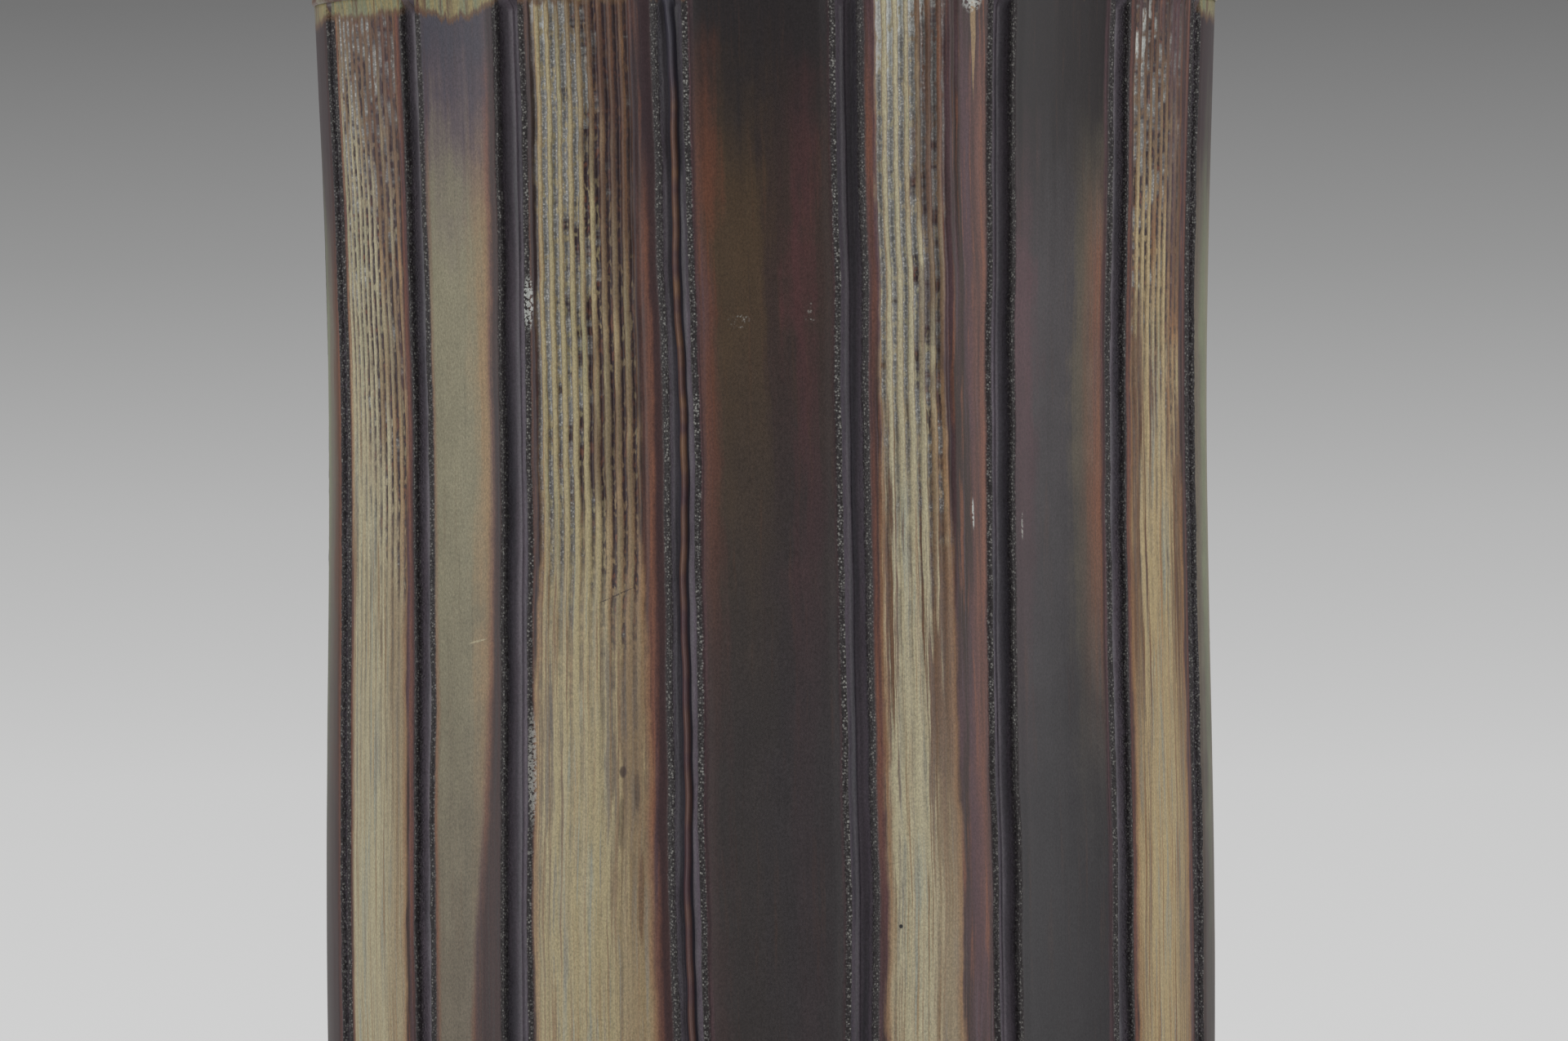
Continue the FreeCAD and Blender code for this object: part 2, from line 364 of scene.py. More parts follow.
def make_mesh(name: str, points: Array, quads: Array, smooth: Array, caps: list[Array]) -> bpy.types.Object:
    """Makes an object from points, four-sided faces and a few faces with many corners.

    Args:
        name: The piece's name.
        points: One row of x, y and z for each point, in metres.
        quads: Four point numbers for each face.
        smooth: Whether each of those faces is shaded smoothly.
        caps: The point numbers of each many-sided face.

    Returns:
        The new object, in the scene.
    """
    mesh = bpy.data.meshes.new(name)
    corners = np.concatenate([quads.ravel(), *caps]).astype(np.int32)
    sizes = np.concatenate([np.full(len(quads), 4), [len(cap) for cap in caps]]).astype(np.int32)
    mesh.vertices.add(len(points))
    mesh.vertices.foreach_set("co", points.astype(np.float32).ravel())
    mesh.loops.add(len(corners))
    mesh.loops.foreach_set("vertex_index", corners)
    mesh.polygons.add(len(sizes))
    mesh.polygons.foreach_set("loop_start", np.concatenate([[0], np.cumsum(sizes)[:-1]]).astype(np.int32))
    mesh.polygons.foreach_set("loop_total", sizes)
    mesh.polygons.foreach_set("use_smooth", np.concatenate([smooth, np.zeros(len(caps), bool)]))
    mesh.update(calc_edges=True)
    mesh.validate()
    piece = bpy.data.objects.new(name, mesh)
    bpy.context.scene.collection.objects.link(piece)
    return piece


def loop_quads(rows: int, columns: int) -> Array:
    """The faces of a tube whose rows are closed loops.

    Args:
        rows: How many loops lie one over the other.
        columns: How many points each has.

    Returns:
        Four point numbers for each face, one row of faces after the other.
    """
    row, column = np.meshgrid(np.arange(rows - 1), np.arange(columns), indexing="ij")
    following = (column + 1) % columns
    low, high = row * columns, (row + 1) * columns
    return np.stack([low + column, low + following, high + following, high + column], axis=-1).reshape(-1, 4)


def end_caps(rows: int, columns: int) -> list[Array]:
    """The point numbers of a tube's lower and upper cap."""
    return [np.arange(columns)[::-1], np.arange(columns) + (rows - 1) * columns]


def make_strip(name: str, outer: Array, back: Array) -> bpy.types.Object:
    """Joins a face and a back into a closed upright strip.

    Args:
        name: The piece's name.
        outer: The face's points from left to right, row by row.
        back: The back's points from right to left.

    Returns:
        The piece, whose face alone is shaded smoothly.
    """
    points = np.concatenate([outer, back], axis=1)
    rows, columns = points.shape[:2]
    smooth = np.tile(np.arange(columns) < outer.shape[1] - 1, rows - 1)
    return make_mesh(name, points.reshape(-1, 3), loop_quads(rows, columns), smooth, end_caps(rows, columns))


def add_field(piece: bpy.types.Object, name: str, values: Array) -> None:
    """Gives a piece a number at each point, which its material reads by that name."""
    field = piece.data.attributes.new(name, "FLOAT", "POINT")
    field.data.foreach_set("value", values.astype(np.float32).ravel())


class Value:
    """A number, a vector, a colour or a shader in a node tree, which can be reckoned with further."""

    def __init__(self, graph: "Graph", socket: bpy.types.NodeSocket) -> None:
        """Takes a node's output and the graph that it belongs to."""
        self.graph, self.socket = graph, socket

    def __add__(self, other: "Feed") -> "Value":
        """The sum."""
        return self.graph.math("ADD", self, other)

    def __sub__(self, other: "Feed") -> "Value":
        """The difference."""
        return self.graph.math("SUBTRACT", self, other)

    def __mul__(self, other: "Feed") -> "Value":
        """The product."""
        return self.graph.math("MULTIPLY", self, other)

    def __truediv__(self, other: "Feed") -> "Value":
        """The quotient."""
        return self.graph.math("DIVIDE", self, other)

    def __abs__(self) -> "Value":
        """The distance from 0."""
        return self.graph.math("ABSOLUTE", self)

    def stretch(self, scale: "Feed", start: "Feed") -> "Value":
        """This number times scale, plus start."""
        return self.graph.math("MULTIPLY_ADD", self, scale, start)

    def sway(self, reach: float) -> "Value":
        """A number from 0 to 1, turned into one from -reach to reach."""
        return self.stretch(2 * reach, -reach)

    def rest(self) -> "Value":
        """What this number lacks of 1."""
        return self.stretch(-1.0, 1.0)

    def step(self, low: "Feed", high: "Feed", most: float = 1.0) -> "Value":
        """A soft rise from 0 at low to most at high, or a soft fall where low is the larger."""
        feeds = {0: self, 1: low, 2: high, 3: 0.0, 4: most}
        return self.graph.value("ShaderNodeMapRange", feeds, interpolation_type="SMOOTHSTEP")

    def blend(self, first: "Feed", second: "Feed") -> "Value":
        """Two colours mixed, with this number as the second one's share."""
        return self.graph.value("ShaderNodeMix", {0: self, 6: first, 7: second}, 2, data_type="RGBA")

    def shade(self, colour: "Feed") -> "Value":
        """A colour made darker or lighter by this factor."""
        return self.graph.value("ShaderNodeVectorMath", {0: colour, "Scale": self}, operation="SCALE")


Feed = Value | Glaze | float | tuple[float, ...]
Feeds = dict[int | str, Feed]


def lay(base: Feed, *coats: tuple[Value, Feed]) -> Value:
    """Lays coats of colour over a base, one after the other.

    Args:
        base: The colour below.
        coats: Each coat's cover, from 0 to 1, and its colour.

    Returns:
        The colour that shows.
    """
    for cover, coat in coats:
        base = cover.blend(base, coat)
    return base


class Graph:
    """Adds nodes to a node tree and links them. What a material's steps share is kept by name in at."""

    def __init__(self, tree: bpy.types.NodeTree) -> None:
        """Takes the tree to work in."""
        self.tree, self.at = tree, SimpleNamespace()

    def feed(self, socket: bpy.types.NodeSocket, value: Feed) -> None:
        """Links a value to an input, or sets the input's own number or colour.

        Args:
            socket: The input.
            value: What goes in.
        """
        if isinstance(value, Value):
            self.tree.links.new(value.socket, socket)
        elif isinstance(value, Glaze):
            socket.default_value = value.linear[: len(socket.default_value)]
        else:
            socket.default_value = value

    def add(self, kind: str, feeds: Feeds, **settings: str) -> bpy.types.Node:
        """Adds a node.

        Args:
            kind: The node's kind.
            feeds: What goes into its inputs, by number or name.
            settings: The node's own settings.

        Returns:
            The node.
        """
        node = self.tree.nodes.new(kind)
        for name, setting in settings.items():
            setattr(node, name, setting)
        for key, value in feeds.items():
            self.feed(node.inputs[key], value)
        return node

    def value(self, kind: str, feeds: Feeds, output: int | str = 0, **settings: str) -> Value:
        """One output of a new node."""
        return Value(self, self.add(kind, feeds, **settings).outputs[output])

    def values(self, kind: str, feeds: Feeds, *outputs: int | str) -> list[Value]:
        """Several outputs of a new node."""
        node = self.add(kind, feeds)
        return [Value(self, node.outputs[output]) for output in outputs]

    def math(self, operation: str, *numbers: Feed) -> Value:
        """A Math node's result."""
        return self.value("ShaderNodeMath", dict(enumerate(numbers)), operation=operation)

    def vector(self, *parts: Feed) -> Value:
        """A vector from three numbers."""
        return self.value("ShaderNodeCombineXYZ", dict(enumerate(parts)))

    def noise(self, place: tuple[Feed, ...], scale: Feed, detail: float, roughness: float) -> Value:
        """Smooth noise from 0 to 1, read at three numbers, with finer layers of that strength."""
        feeds = {"Vector": self.vector(*place), "Scale": scale, "Detail": detail, "Roughness": roughness}
        return self.value("ShaderNodeTexNoise", feeds, "Fac")

    def field(self, name: str) -> Value:
        """The number that a mesh holds at each point under that name."""
        return self.value("ShaderNodeAttribute", {}, "Fac", attribute_name=name)


class Effect:
    """A shader node group that is built once and placed in each material with its own values."""

    inputs: dict[str, float] = {}

    def wire(self, graph: Graph) -> dict[str, Value]:
        """Builds what is inside the group, whose inputs the graph knows, and names its outputs."""
        raise NotImplementedError

    def tree(self) -> bpy.types.NodeTree:
        """Finds the group's tree, or builds it the first time.

        Returns:
            The tree.
        """
        name = type(self).__name__
        tree = bpy.data.node_groups.get(name)
        if tree:
            return tree
        tree = bpy.data.node_groups.new(name, "ShaderNodeTree")
        kind = "NodeSocketFloat"
        for label, value in self.inputs.items():
            tree.interface.new_socket(name=label, in_out="INPUT", socket_type=kind).default_value = value
        graph = Graph(tree)
        start = graph.add("NodeGroupInput", {})
        vars(graph.at).update({label: Value(graph, start.outputs[label]) for label in self.inputs})
        results = self.wire(graph)
        for label in results:
            tree.interface.new_socket(name=label, in_out="OUTPUT", socket_type=kind)
        graph.add("NodeGroupOutput", results)
        return tree

    def place(self, graph: Graph, **feeds: Feed) -> SimpleNamespace:
        """Puts the group into a material. What isn't fed comes from what the graph knows by that name.

        Args:
            graph: The material's tree.
            feeds: What goes into the group's inputs.

        Returns:
            All that the graph knows, the group's outputs among it.
        """
        node = graph.add("ShaderNodeGroup", {}, node_tree=self.tree())
        known = {**vars(graph.at), **feeds}
        for label in self.inputs:
            if label in known:
                graph.feed(node.inputs[label], known[label])
        vars(graph.at).update({output.name: Value(graph, output) for output in node.outputs})
        return graph.at


class Place(Effect):
    """Where a point lies: its height, and its place round the vase, in millimetres."""

    def wire(self, graph: Graph) -> dict[str, Value]:
        """Scales the object's own coordinates to millimetres.

        Args:
            graph: The group's own tree.

        Returns:
            Where a point lies, along x, y and the height.
        """
        where = graph.value("ShaderNodeTexCoord", {}, "Object")
        parts = graph.values("ShaderNodeSeparateXYZ", {0: where}, 0, 1, 2)
        return {name: part * (1 / MM) for name, part in zip(("x", "y", "height"), parts)}


class Streaks(Effect):
    """Glaze that ran down: noise drawn out along the height."""

    inputs = dict.fromkeys(("across", "height", "width", "length", "seed"), 1.0)

    def wire(self, graph: Graph) -> dict[str, Value]:
        """Stretches a noise texture."""
        at = graph.at
        return {"streak": graph.noise((at.across / at.width, at.height / at.length, at.seed), 1.0, 3.0, 0.6)}


class Crystals(Effect):
    """Fine pale crystals, as ash and burrs have them, and a few bright ones; on the burrs they are partly
    painted glints.
    """

    inputs = {"x": 0.0, "y": 0.0, "height": 0.0, "size": 0.35}

    def wire(self, graph: Graph) -> dict[str, Value]:
        """Reads the cells of a Voronoi texture.

        Args:
            graph: The group's own tree.

        Returns:
            The crystals' strength, and the bright ones' alone.
        """
        at = graph.at
        feeds = {"Vector": graph.vector(at.x, at.y, at.height), "Scale": graph.math("DIVIDE", 1.0, at.size)}
        distance, colour = graph.values("ShaderNodeTexVoronoi", feeds, "Distance", "Color")
        pale, bright = graph.values("ShaderNodeSeparateColor", {0: colour}, 0, 1)
        body = distance.step(0.75, 0.2)
        return {"grain": body * pale, "spark": body * bright.step(0.6, 0.9)}


class SatinGrain(Effect):
    """The fine, even grain of a satin glaze, and wide clouds."""

    inputs = {"x": 0.0, "y": 0.0, "height": 0.0, "size": 0.3}

    def wire(self, graph: Graph) -> dict[str, Value]:
        """Two layers of noise, one fine and one wide.

        Args:
            graph: The group's own tree.

        Returns:
            Both layers, from 0 to 1.
        """
        at = graph.at
        place = (at.x, at.y, at.height * 0.7)
        fine = graph.noise(place, graph.math("DIVIDE", 1.0, at.size), 2.0, 0.7)
        return {"fine": fine, "cloud": graph.noise(place, 0.16, 3.0, 0.6)}


class EdgeBands(Effect):
    """What follows a groove's edge: the groove, its burr, a dark line and a warm halo."""

    parts = ("line", "halo", "growth")
    sides = ("left", "right")
    growth_heights = (190.0, 95.0)
    inputs = dict.fromkeys((*sides, "height", "seed", "left_line", "left_halo", "left_growth", "right_line",
                            "right_halo", "right_growth"), 0.0)

    def wire(self, graph: Graph) -> dict[str, Value]:
        """Bands by the distance from each edge, with a wandering width.

        Args:
            graph: The group's own tree.

        Returns:
            A mask for each band.
        """
        at = graph.at
        slow = graph.noise((0.0, at.height * 0.06, at.seed), 1.0, 3.0, 0.6)
        rough = graph.noise((at.left, at.height * 0.5, at.seed), 2.2, 2.0, 0.6)
        shift = rough.sway(0.25) + slow.sway(0.7)
        close = graph.math("MINIMUM", at.left, at.right) + rough.sway(0.12)
        bands = {"groove": close.step(0.02, -0.28), "burr": close.step(-0.6, -0.15) * close.step(1.05, 0.6)}
        lined, warm = [], []
        for side in self.sides:
            edge = getattr(at, side)
            line, halo, growth = (getattr(at, f"{side}_{part}") for part in self.parts)
            here = edge + shift * edge.step(0.3, 2.5)
            grown = growth * at.height.step(*self.growth_heights)
            line, soft = line + grown, grown.stretch(0.3, 0.5)
            lined.append(here.step(line + soft, line - soft))
            warm.append(here.step(line + halo, line))
        bands.update(line=graph.math("MAXIMUM", *lined), halo=graph.math("MAXIMUM", *warm))
        return bands


class CombLines(Effect):
    """A comb's marks: hollows and ridges, and the glaze that settled in each hollow."""

    inputs = dict.fromkeys(("flute", "height", "seed", "cover"), 0.0)

    def wire(self, graph: Graph) -> dict[str, Value]:
        """Waves across the comb, and noise drawn out along each flute.

        Args:
            graph: The group's own tree.

        Returns:
            Masks of hollows and their outlines, and noise for each hollow, ridge and patch.
        """
        at = graph.at
        hollow_number, ridge_number = graph.math("ROUND", at.flute), graph.math("FLOOR", at.flute)
        wave = graph.math("COSINE", at.flute * (2 * math.pi)).stretch(0.5, 0.5)
        uneven = graph.noise((at.flute, at.height * 0.3, at.seed), 1.1, 4.0, 0.7)
        own_width = graph.noise((hollow_number * 9.1, at.height * 0.02, at.seed), 1.0, 1.0, 0.5)
        widening = at.height.step(at.cover + 12.0, 262.0, 0.2)
        edge = wave + uneven.sway(0.45) + own_width.stretch(0.55, -0.27) + widening
        hollow = edge.step(0.52, 0.8)
        crooked = hollow_number * 3.7 + at.flute * 2.2
        return {
            "hollow": hollow,
            "outline": edge.step(0.3, 0.52) * hollow.rest(),
            "ridge_tone": graph.noise((ridge_number * 5.1, at.height * 0.03, at.seed), 1.0, 2.0, 0.6),
            "settled": graph.noise((hollow_number * 7.3, at.height * 0.16, at.seed), 1.0, 4.0, 0.7),
            "spots": graph.noise((crooked, at.height * 0.5, at.seed), 1.0, 2.0, 0.6),
            "patch": graph.noise((at.flute * 0.33, at.height * 0.05, at.seed), 1.0, 3.0, 0.6),
        }


@dataclass(frozen=True)
class Finish:
    """A material's name and how its surface takes the light."""

    name: str = ""
    roughness: float = 0.45
    bump: float = 0.03
    gloss: float = 0.22

    def paint(self, graph: Graph) -> Feeds:
        """What goes into the shader's inputs, and under Height the relief."""
        raise NotImplementedError

    def satin(self, graph: Graph, colour: Feed) -> Feeds:
        """A colour and a relief that both have the satin grain."""
        return {"Base Color": graph.at.fine.stretch(0.4, 0.8).shade(colour), "Height": graph.at.fine}

    def make(self) -> bpy.types.Material:
        """Builds the material.

        Returns:
            The material.
        """
        material = bpy.data.materials.new(self.name)
        material.use_nodes = True
        material.node_tree.nodes.clear()
        graph = Graph(material.node_tree)
        Place().place(graph)
        feeds = {"Roughness": self.roughness, "Specular IOR Level": self.gloss, **self.paint(graph)}
        if "Height" in feeds:
            relief = {"Distance": self.bump * MM, "Height": feeds.pop("Height")}
            feeds["Normal"] = graph.value("ShaderNodeBump", relief)
        graph.add("ShaderNodeOutputMaterial", {"Surface": graph.value("ShaderNodeBsdfPrincipled", feeds)})
        return material


@dataclass(frozen=True)
class Edges:
    """The bands along a panel's two edges: the dark line's and the warm halo's widths and colours."""

    left_line: float = 1.1
    right_line: float = 1.1
    left_halo: float = 1.6
    right_halo: float = 1.6
    halo: Glaze = Glaze.RUST
    line: Glaze = Glaze.PLUM
    left_growth: float = 0.0
    right_growth: float = 0.0
    halo_heights: tuple[float, float] = (-100.0, 400.0)


@dataclass(frozen=True)
class Mark:
    """A small mark on a panel: a chip, a scratch, a rubbed spot or a run of glaze."""

    across: float
    height: float
    half_width: float
    half_length: float
    glaze: Glaze
    strength: float = 0.8
    lean: float = 0.0
    taper: float = 0.0
    speckle: float = 0.0
    dotted: bool = False

    def mask(self, graph: Graph) -> Value:
        """Where the mark lies.

        Args:
            graph: The panel's material.

        Returns:
            A number from 0 to 1.
        """
        at = graph.at
        aside = at.left - self.across
        level = at.height - self.height - aside * self.lean
        width = graph.math("MAXIMUM", level.stretch(self.taper, self.half_width), 0.02)
        sideways, lengthways = abs(aside) / width, abs(level) / self.half_length
        inside = (sideways * sideways + lengthways * lengthways).step(1.0, 0.35, self.strength)
        if self.dotted:
            inside = inside * at.spark
        if self.speckle:
            lumps = graph.noise((at.left, at.height, at.seed), 2.3, 2.0, 0.5)
            inside = inside * lumps.step(self.speckle, self.speckle + 0.08)
        return inside


# Each layer of streaks: its width and its length, and what it adds to the panel's seed.
STREAKS = {
    "wide": (1.7, 60.0, 0), "middle": (0.95, 26.0, 3), "thin": (0.42, 34.0, 7), "hair": (0.22, 50.0, 11),
}


@dataclass(frozen=True)
class PanelFinish(Finish):
    """What combed and smooth panels share: the groove's halves, the edges and the top band."""

    seed: int = 0
    edges: Edges = Edges()
    top_band: float = 2.2
    droop: float = 0.8
    # How strongly the burrs get pale grains and bright specks: partly their crystals, partly painted glints.
    frost: float = 0.4
    marks: tuple[Mark, ...] = ()
    groove_dark: tuple[float, float, float] = (218.0, 242.0, 0.28)

    def face(self, graph: Graph) -> Value:
        """The colour of the panel's face, without its edges."""
        raise NotImplementedError

    def streak(self, graph: Graph, name: str) -> Value:
        """One layer of streaks.

        Args:
            graph: The material's tree.
            name: The layer's name.

        Returns:
            Numbers from 0 to 1.
        """
        width, length, layer = STREAKS[name]
        seed = float(self.seed + layer)
        return Streaks().place(graph, across=graph.at.left, width=width, length=length, seed=seed).streak

    def paint(self, graph: Graph) -> Feeds:
        """Lays the edges, the marks, the groove and the top band over the face.

        Args:
            graph: The material's tree.

        Returns:
            What goes into the shader, and the relief.
        """
        at = graph.at
        at.left, at.right = graph.field("from_left"), graph.field("from_right")
        at.seed, at.bare = float(self.seed), 1.0
        SatinGrain().place(graph, size=0.26)
        Crystals().place(graph, size=0.31)
        at.wide, at.middle, at.thin = (self.streak(graph, name) for name in ("wide", "middle", "thin"))
        face = self.face(graph)
        EdgeBands().place(graph, **vars(self.edges))
        low, high = self.edges.halo_heights
        lasting = at.height.step(low - 24.0, low + 24.0) * at.height.step(high + 9.0, high - 9.0) * at.bare
        warm = at.wide.step(0.4, 0.7).blend(self.edges.halo, Glaze.PLUM)
        dark = at.thin.step(0.4, 0.65).blend(Glaze.DEEP_PLUM, self.edges.line)
        # The burr's pale grains and bright specks are partly its crystals and partly painted glints.
        crumb_and_glint = at.thin.step(0.35, 0.6, self.frost).blend(Glaze.SLATE, Glaze.DULL_ASH)
        tint = at.wide.step(0.35, 0.65).blend(Glaze.GROOVE_SLATE, Glaze.GROOVE_STEEL)
        colour = lay(
            face,
            (at.halo * at.thin.step(0.25, 0.6).stretch(0.4, 0.5) * lasting, warm),
            (at.line * 0.9, dark),
            (at.burr, lay(Glaze.IRON_BLACK, (at.grain, crumb_and_glint), (at.spark * self.frost, Glaze.ASH))),
            *((mark.mask(graph), mark.glaze) for mark in self.marks),
            (at.groove, at.height.step(*self.groove_dark).blend(tint, Glaze.IRON_BLACK)),
            *self.band(graph),
        )
        rough = at.fine * 0.1 + at.burr * 0.1 - at.groove * 0.08 + (self.roughness - 0.05)
        relief = at.fine * 0.6 + at.grain * at.burr * 3.0
        return {"Base Color": at.fine.stretch(1.3, 0.35).shade(colour), "Roughness": rough, "Height": relief}

    def band(self, graph: Graph) -> list[tuple[Value, Feed]]:
        """The olive band along the rim, with its lower edge toasted brown.

        Args:
            graph: The material's tree.

        Returns:
            Two coats: the band and its edge.
        """
        at = graph.at
        share = at.left / (at.left + at.right)
        arch = share * share.rest() * (4.0 * self.droop)
        ragged = at.height + at.thin.sway(0.9) + at.wide.sway(2.0) + arch
        start = FORM.top - self.top_band
        band = ragged.step(start - 0.6, start + 1.0) * at.groove.stretch(-0.9, 1.0)
        olive = at.middle.step(0.4, 0.6).blend(Glaze.STRAW, Glaze.MOSS)
        olive = at.wide.step(0.52, 0.7).blend(olive, Glaze.BROWN)
        return [(band * 0.9, olive), (band * band.rest() * 2.8, Glaze.BROWN)]


@dataclass(frozen=True)
class SmoothFinish(PanelFinish):
    """A smooth panel's glaze: tones across it, a cap at the top and a run at the bottom."""

    tones: tuple[Glaze, ...] = ()
    top: Glaze = Glaze.SLATE
    low: Glaze = Glaze.OLIVE
    top_height: float = 252.0
    low_height: float = 185.0
    low_share: float = 0.8
    top_reach: float = 24.0
    low_reach: float = 45.0
    under_top: Glaze | None = None

    def face(self, graph: Graph) -> Value:
        """The tones from left to right, with the run, the cap and thin streaks over them.

        Args:
            graph: The material's tree.

        Returns:
            The colour.
        """
        at = graph.at
        across = at.left / (at.left + at.right) + at.wide.sway(0.18) + at.cloud.sway(0.15)
        part = 1 / len(self.tones)
        body: Feed = self.tones[0]
        for index, tone in enumerate(self.tones[1:], 1):
            body = across.step((index - 0.45) * part, (index + 0.45) * part).blend(body, tone)
        shifted = at.height + at.wide.sway(12.0) + at.cloud.sway(13.0)
        low, start = self.low_height, self.top_height - self.top_reach
        body = shifted.step(low + self.low_reach, low - self.low_reach, self.low_share).blend(body, self.low)
        if self.under_top:
            body = shifted.step(start - 18.0, start + 14.0).blend(body, self.under_top)
        cap = shifted.step(start, self.top_height + self.top_reach / 2)
        at.bare = cap.stretch(-0.85, 1.0)
        body = lay(
            body,
            (cap, self.top),
            (at.thin.step(0.52, 0.85, 0.35), Glaze.IRON_BLACK),
            (at.middle.step(0.46, 0.2, 0.25), Glaze.BROWN),
        )
        return at.cloud.stretch(0.4, 0.8).shade(body)


@dataclass(frozen=True)
class CombedFinish(PanelFinish):
    """A combed panel's glaze: cream on the ridges and crystals in the hollows."""

    margins: tuple[float, float] = (1.0, 2.0)
    top_margins: tuple[float, float] = (1.0, 3.4)
    settle: tuple[float, float] = (0.7, 0.2)
    cover_height: float = 196.0
    cover_lean: float = 12.0
    brown_heights: tuple[float, float] = (268.0, 246.0)
    reach: float = 274.0
    ash_height: float = 282.0
    wear: float = 0.4
    toast: float = 0.5
    clean: float = 0.4
    ridge: Glaze = Glaze.CREAM
    side: Glaze = Glaze.TAN
    ground: Glaze = Glaze.PLUM
    ground_lines: float = 0.7

    def face(self, graph: Graph) -> Value:
        """Cream that covers the comb below, shows its lines above and leaves the margins bare.

        Args:
            graph: The material's tree.

        Returns:
            The colour.
        """
        at = graph.at
        at.flute = graph.field("flute")
        CombLines().place(graph, cover=self.cover_height)
        self.find_zone(graph)
        ground = lay(
            self.ground,
            (at.wide.step(0.38, 0.62), Glaze.UMBER),
            (at.thin.step(0.54, 0.7, self.ground_lines), Glaze.MAUVE),
            (at.middle.step(0.52, 0.68, self.ground_lines), Glaze.RUST),
        )
        toasted = at.rim * (at.above * at.hollow).stretch(-0.9, 1.0)
        cream = lay(self.covered(graph), (at.above, self.lines(graph)), (toasted, Glaze.TOAST))
        return (at.zone * self.cover(graph)).blend(ground, cream)

    def near_cover(self, height: Value, below: float, over: float, most: float = 1.0) -> Value:
        """A rise from so far below the height at which cream covers the hollows to so far over it."""
        return height.step(self.cover_height - below, self.cover_height + over, most)

    def find_zone(self, graph: Graph) -> None:
        """Finds where cream lies.

        The graph then knows the zone of cream, the place across the comb from 0 to 1, the zone's rim,
        and where the hollows show, each of which ends at a height of its own.

        Args:
            graph: The material's tree.
        """
        at = graph.at
        high = self.near_cover(at.height, 24.0, 12.0)
        shift = at.thin.sway(0.75) + at.cloud.sway(0.8)
        left, right = (
            edge + shift - high.stretch(top - low, low)
            for edge, low, top in zip((at.left, at.right), self.margins, self.top_margins)
        )
        at.zone = left.step(-0.35, 0.6) * right.step(-0.35, 0.6)
        at.rim = graph.math("MINIMUM", left, right).step(1.5, 0.2, 0.6)
        at.spread = at.left.step(self.top_margins[0], at.left + at.right - self.top_margins[1])
        own = at.settled.sway(25.0) + at.cloud.sway(12.0) + at.spread.sway(self.cover_lean / 2)
        at.above = self.near_cover(at.height + own, 16.0, 14.0)

    def lines(self, graph: Graph) -> Value:
        """Ridges and hollows in the upper part.

        Args:
            graph: The material's tree.

        Returns:
            The colour.
        """
        at = graph.at
        upper = at.height.step(self.cover_height + 5.0, FORM.top, 0.08)
        left_brown, right_brown = self.brown_heights
        browned = at.height + at.ridge_tone.sway(20.0) + at.spread * (left_brown - right_brown)
        ridge = lay(
            self.ridge,
            ((at.ridge_tone + at.spread.stretch(0.3, -0.18)).step(0.45, 0.68), self.side),
            (at.middle.step(0.5, 0.64, 0.4), Glaze.MOSS),
            ((at.patch + upper + at.spread.stretch(0.2, -0.12)).step(0.6, 0.78, 0.7), Glaze.UMBER_TAN),
            (browned.step(left_brown - 14.0, left_brown + 14.0, 0.85), Glaze.BROWN),
            (at.outline * 0.5, Glaze.BROWN),
        )
        fill = at.height + at.settled.sway(18.0) + at.spread.stretch(-20.0, 6.0)
        filled = fill.step(self.ash_height - 4.0, self.ash_height + 4.0, 0.8)
        crystals = lay(
            at.height.step(188.0, 222.0).blend(Glaze.SLATE, Glaze.DULL_ASH),
            (at.grain, Glaze.ASH),
            (filled * at.spots.step(0.34, 0.46, 0.85), Glaze.PALE_ASH),
            (at.spark * 0.34, Glaze.FROST),
        )
        bias = at.spread.stretch(self.settle[1] - self.settle[0], self.settle[0] - 0.5)
        high = at.height.step(FORM.top - 60.0, FORM.top - 10.0, 0.1)
        hollow = lay(
            at.spots.step(0.55, 0.66, 0.55).blend(Glaze.DEEP_PLUM, Glaze.RUST),
            ((at.settled + bias * 0.45 + high).step(0.46, 0.6), crystals),
            (at.spots.step(0.48, 0.36, 0.75), ridge),
        )
        return at.hollow.blend(ridge, hollow)

    def covered(self, graph: Graph) -> Value:
        """The lower part, where cream covers ridges and hollows alike.

        Args:
            graph: The material's tree.

        Returns:
            The colour.
        """
        at = graph.at
        towards = abs(at.spread - self.clean).stretch(0.56, -0.13)
        narrow = (at.thin + towards).step(0.56, 0.66, self.toast)
        broad = (at.middle + towards).step(0.58, 0.68, self.toast)
        run = graph.math("MAXIMUM", narrow, broad) * (self.near_cover(at.height, 65.0, -30.0, 0.6) + 0.4)
        hair = self.streak(graph, "hair")
        fading = self.near_cover(at.height, 70.0, -5.0, 0.42) + 0.06
        return lay(
            self.ridge,
            (at.middle.step(0.5, 0.66, 0.8), Glaze.BLUE_ASH),
            (at.thin.step(0.48, 0.68, 0.85), self.side),
            (at.wide.step(0.5, 0.7, 0.4), Glaze.PALE_CREAM),
            ((at.spread + at.patch.sway(0.25)).step(0.7, 0.92, 0.35), Glaze.TAN),
            (run, Glaze.BROWN),
            (hair.step(0.56, 0.72, 0.5), Glaze.DRIFTWOOD),
            (hair.step(0.42, 0.3, 0.5), Glaze.UMBER_TAN),
            (at.hollow * at.settled.step(0.3, 0.6) * fading, Glaze.SLATE),
        )

    def cover(self, graph: Graph) -> Value:
        """How well cream covers: it is worn in patches and thins out towards the top, first off the ridges.

        Args:
            graph: The material's tree.

        Returns:
            A number from 0 to 1.
        """
        at = graph.at
        high = at.height + at.middle.sway(10.0) - at.hollow * 9.0
        opened = self.near_cover(at.height, 4.0, 14.0)
        patch = at.patch + at.spread.sway(0.2) + opened * 0.06
        worn = patch.step(0.6, 0.7, self.wear) * opened
        return high.step(self.reach + 8.0, self.reach - 8.0) * worn.rest()


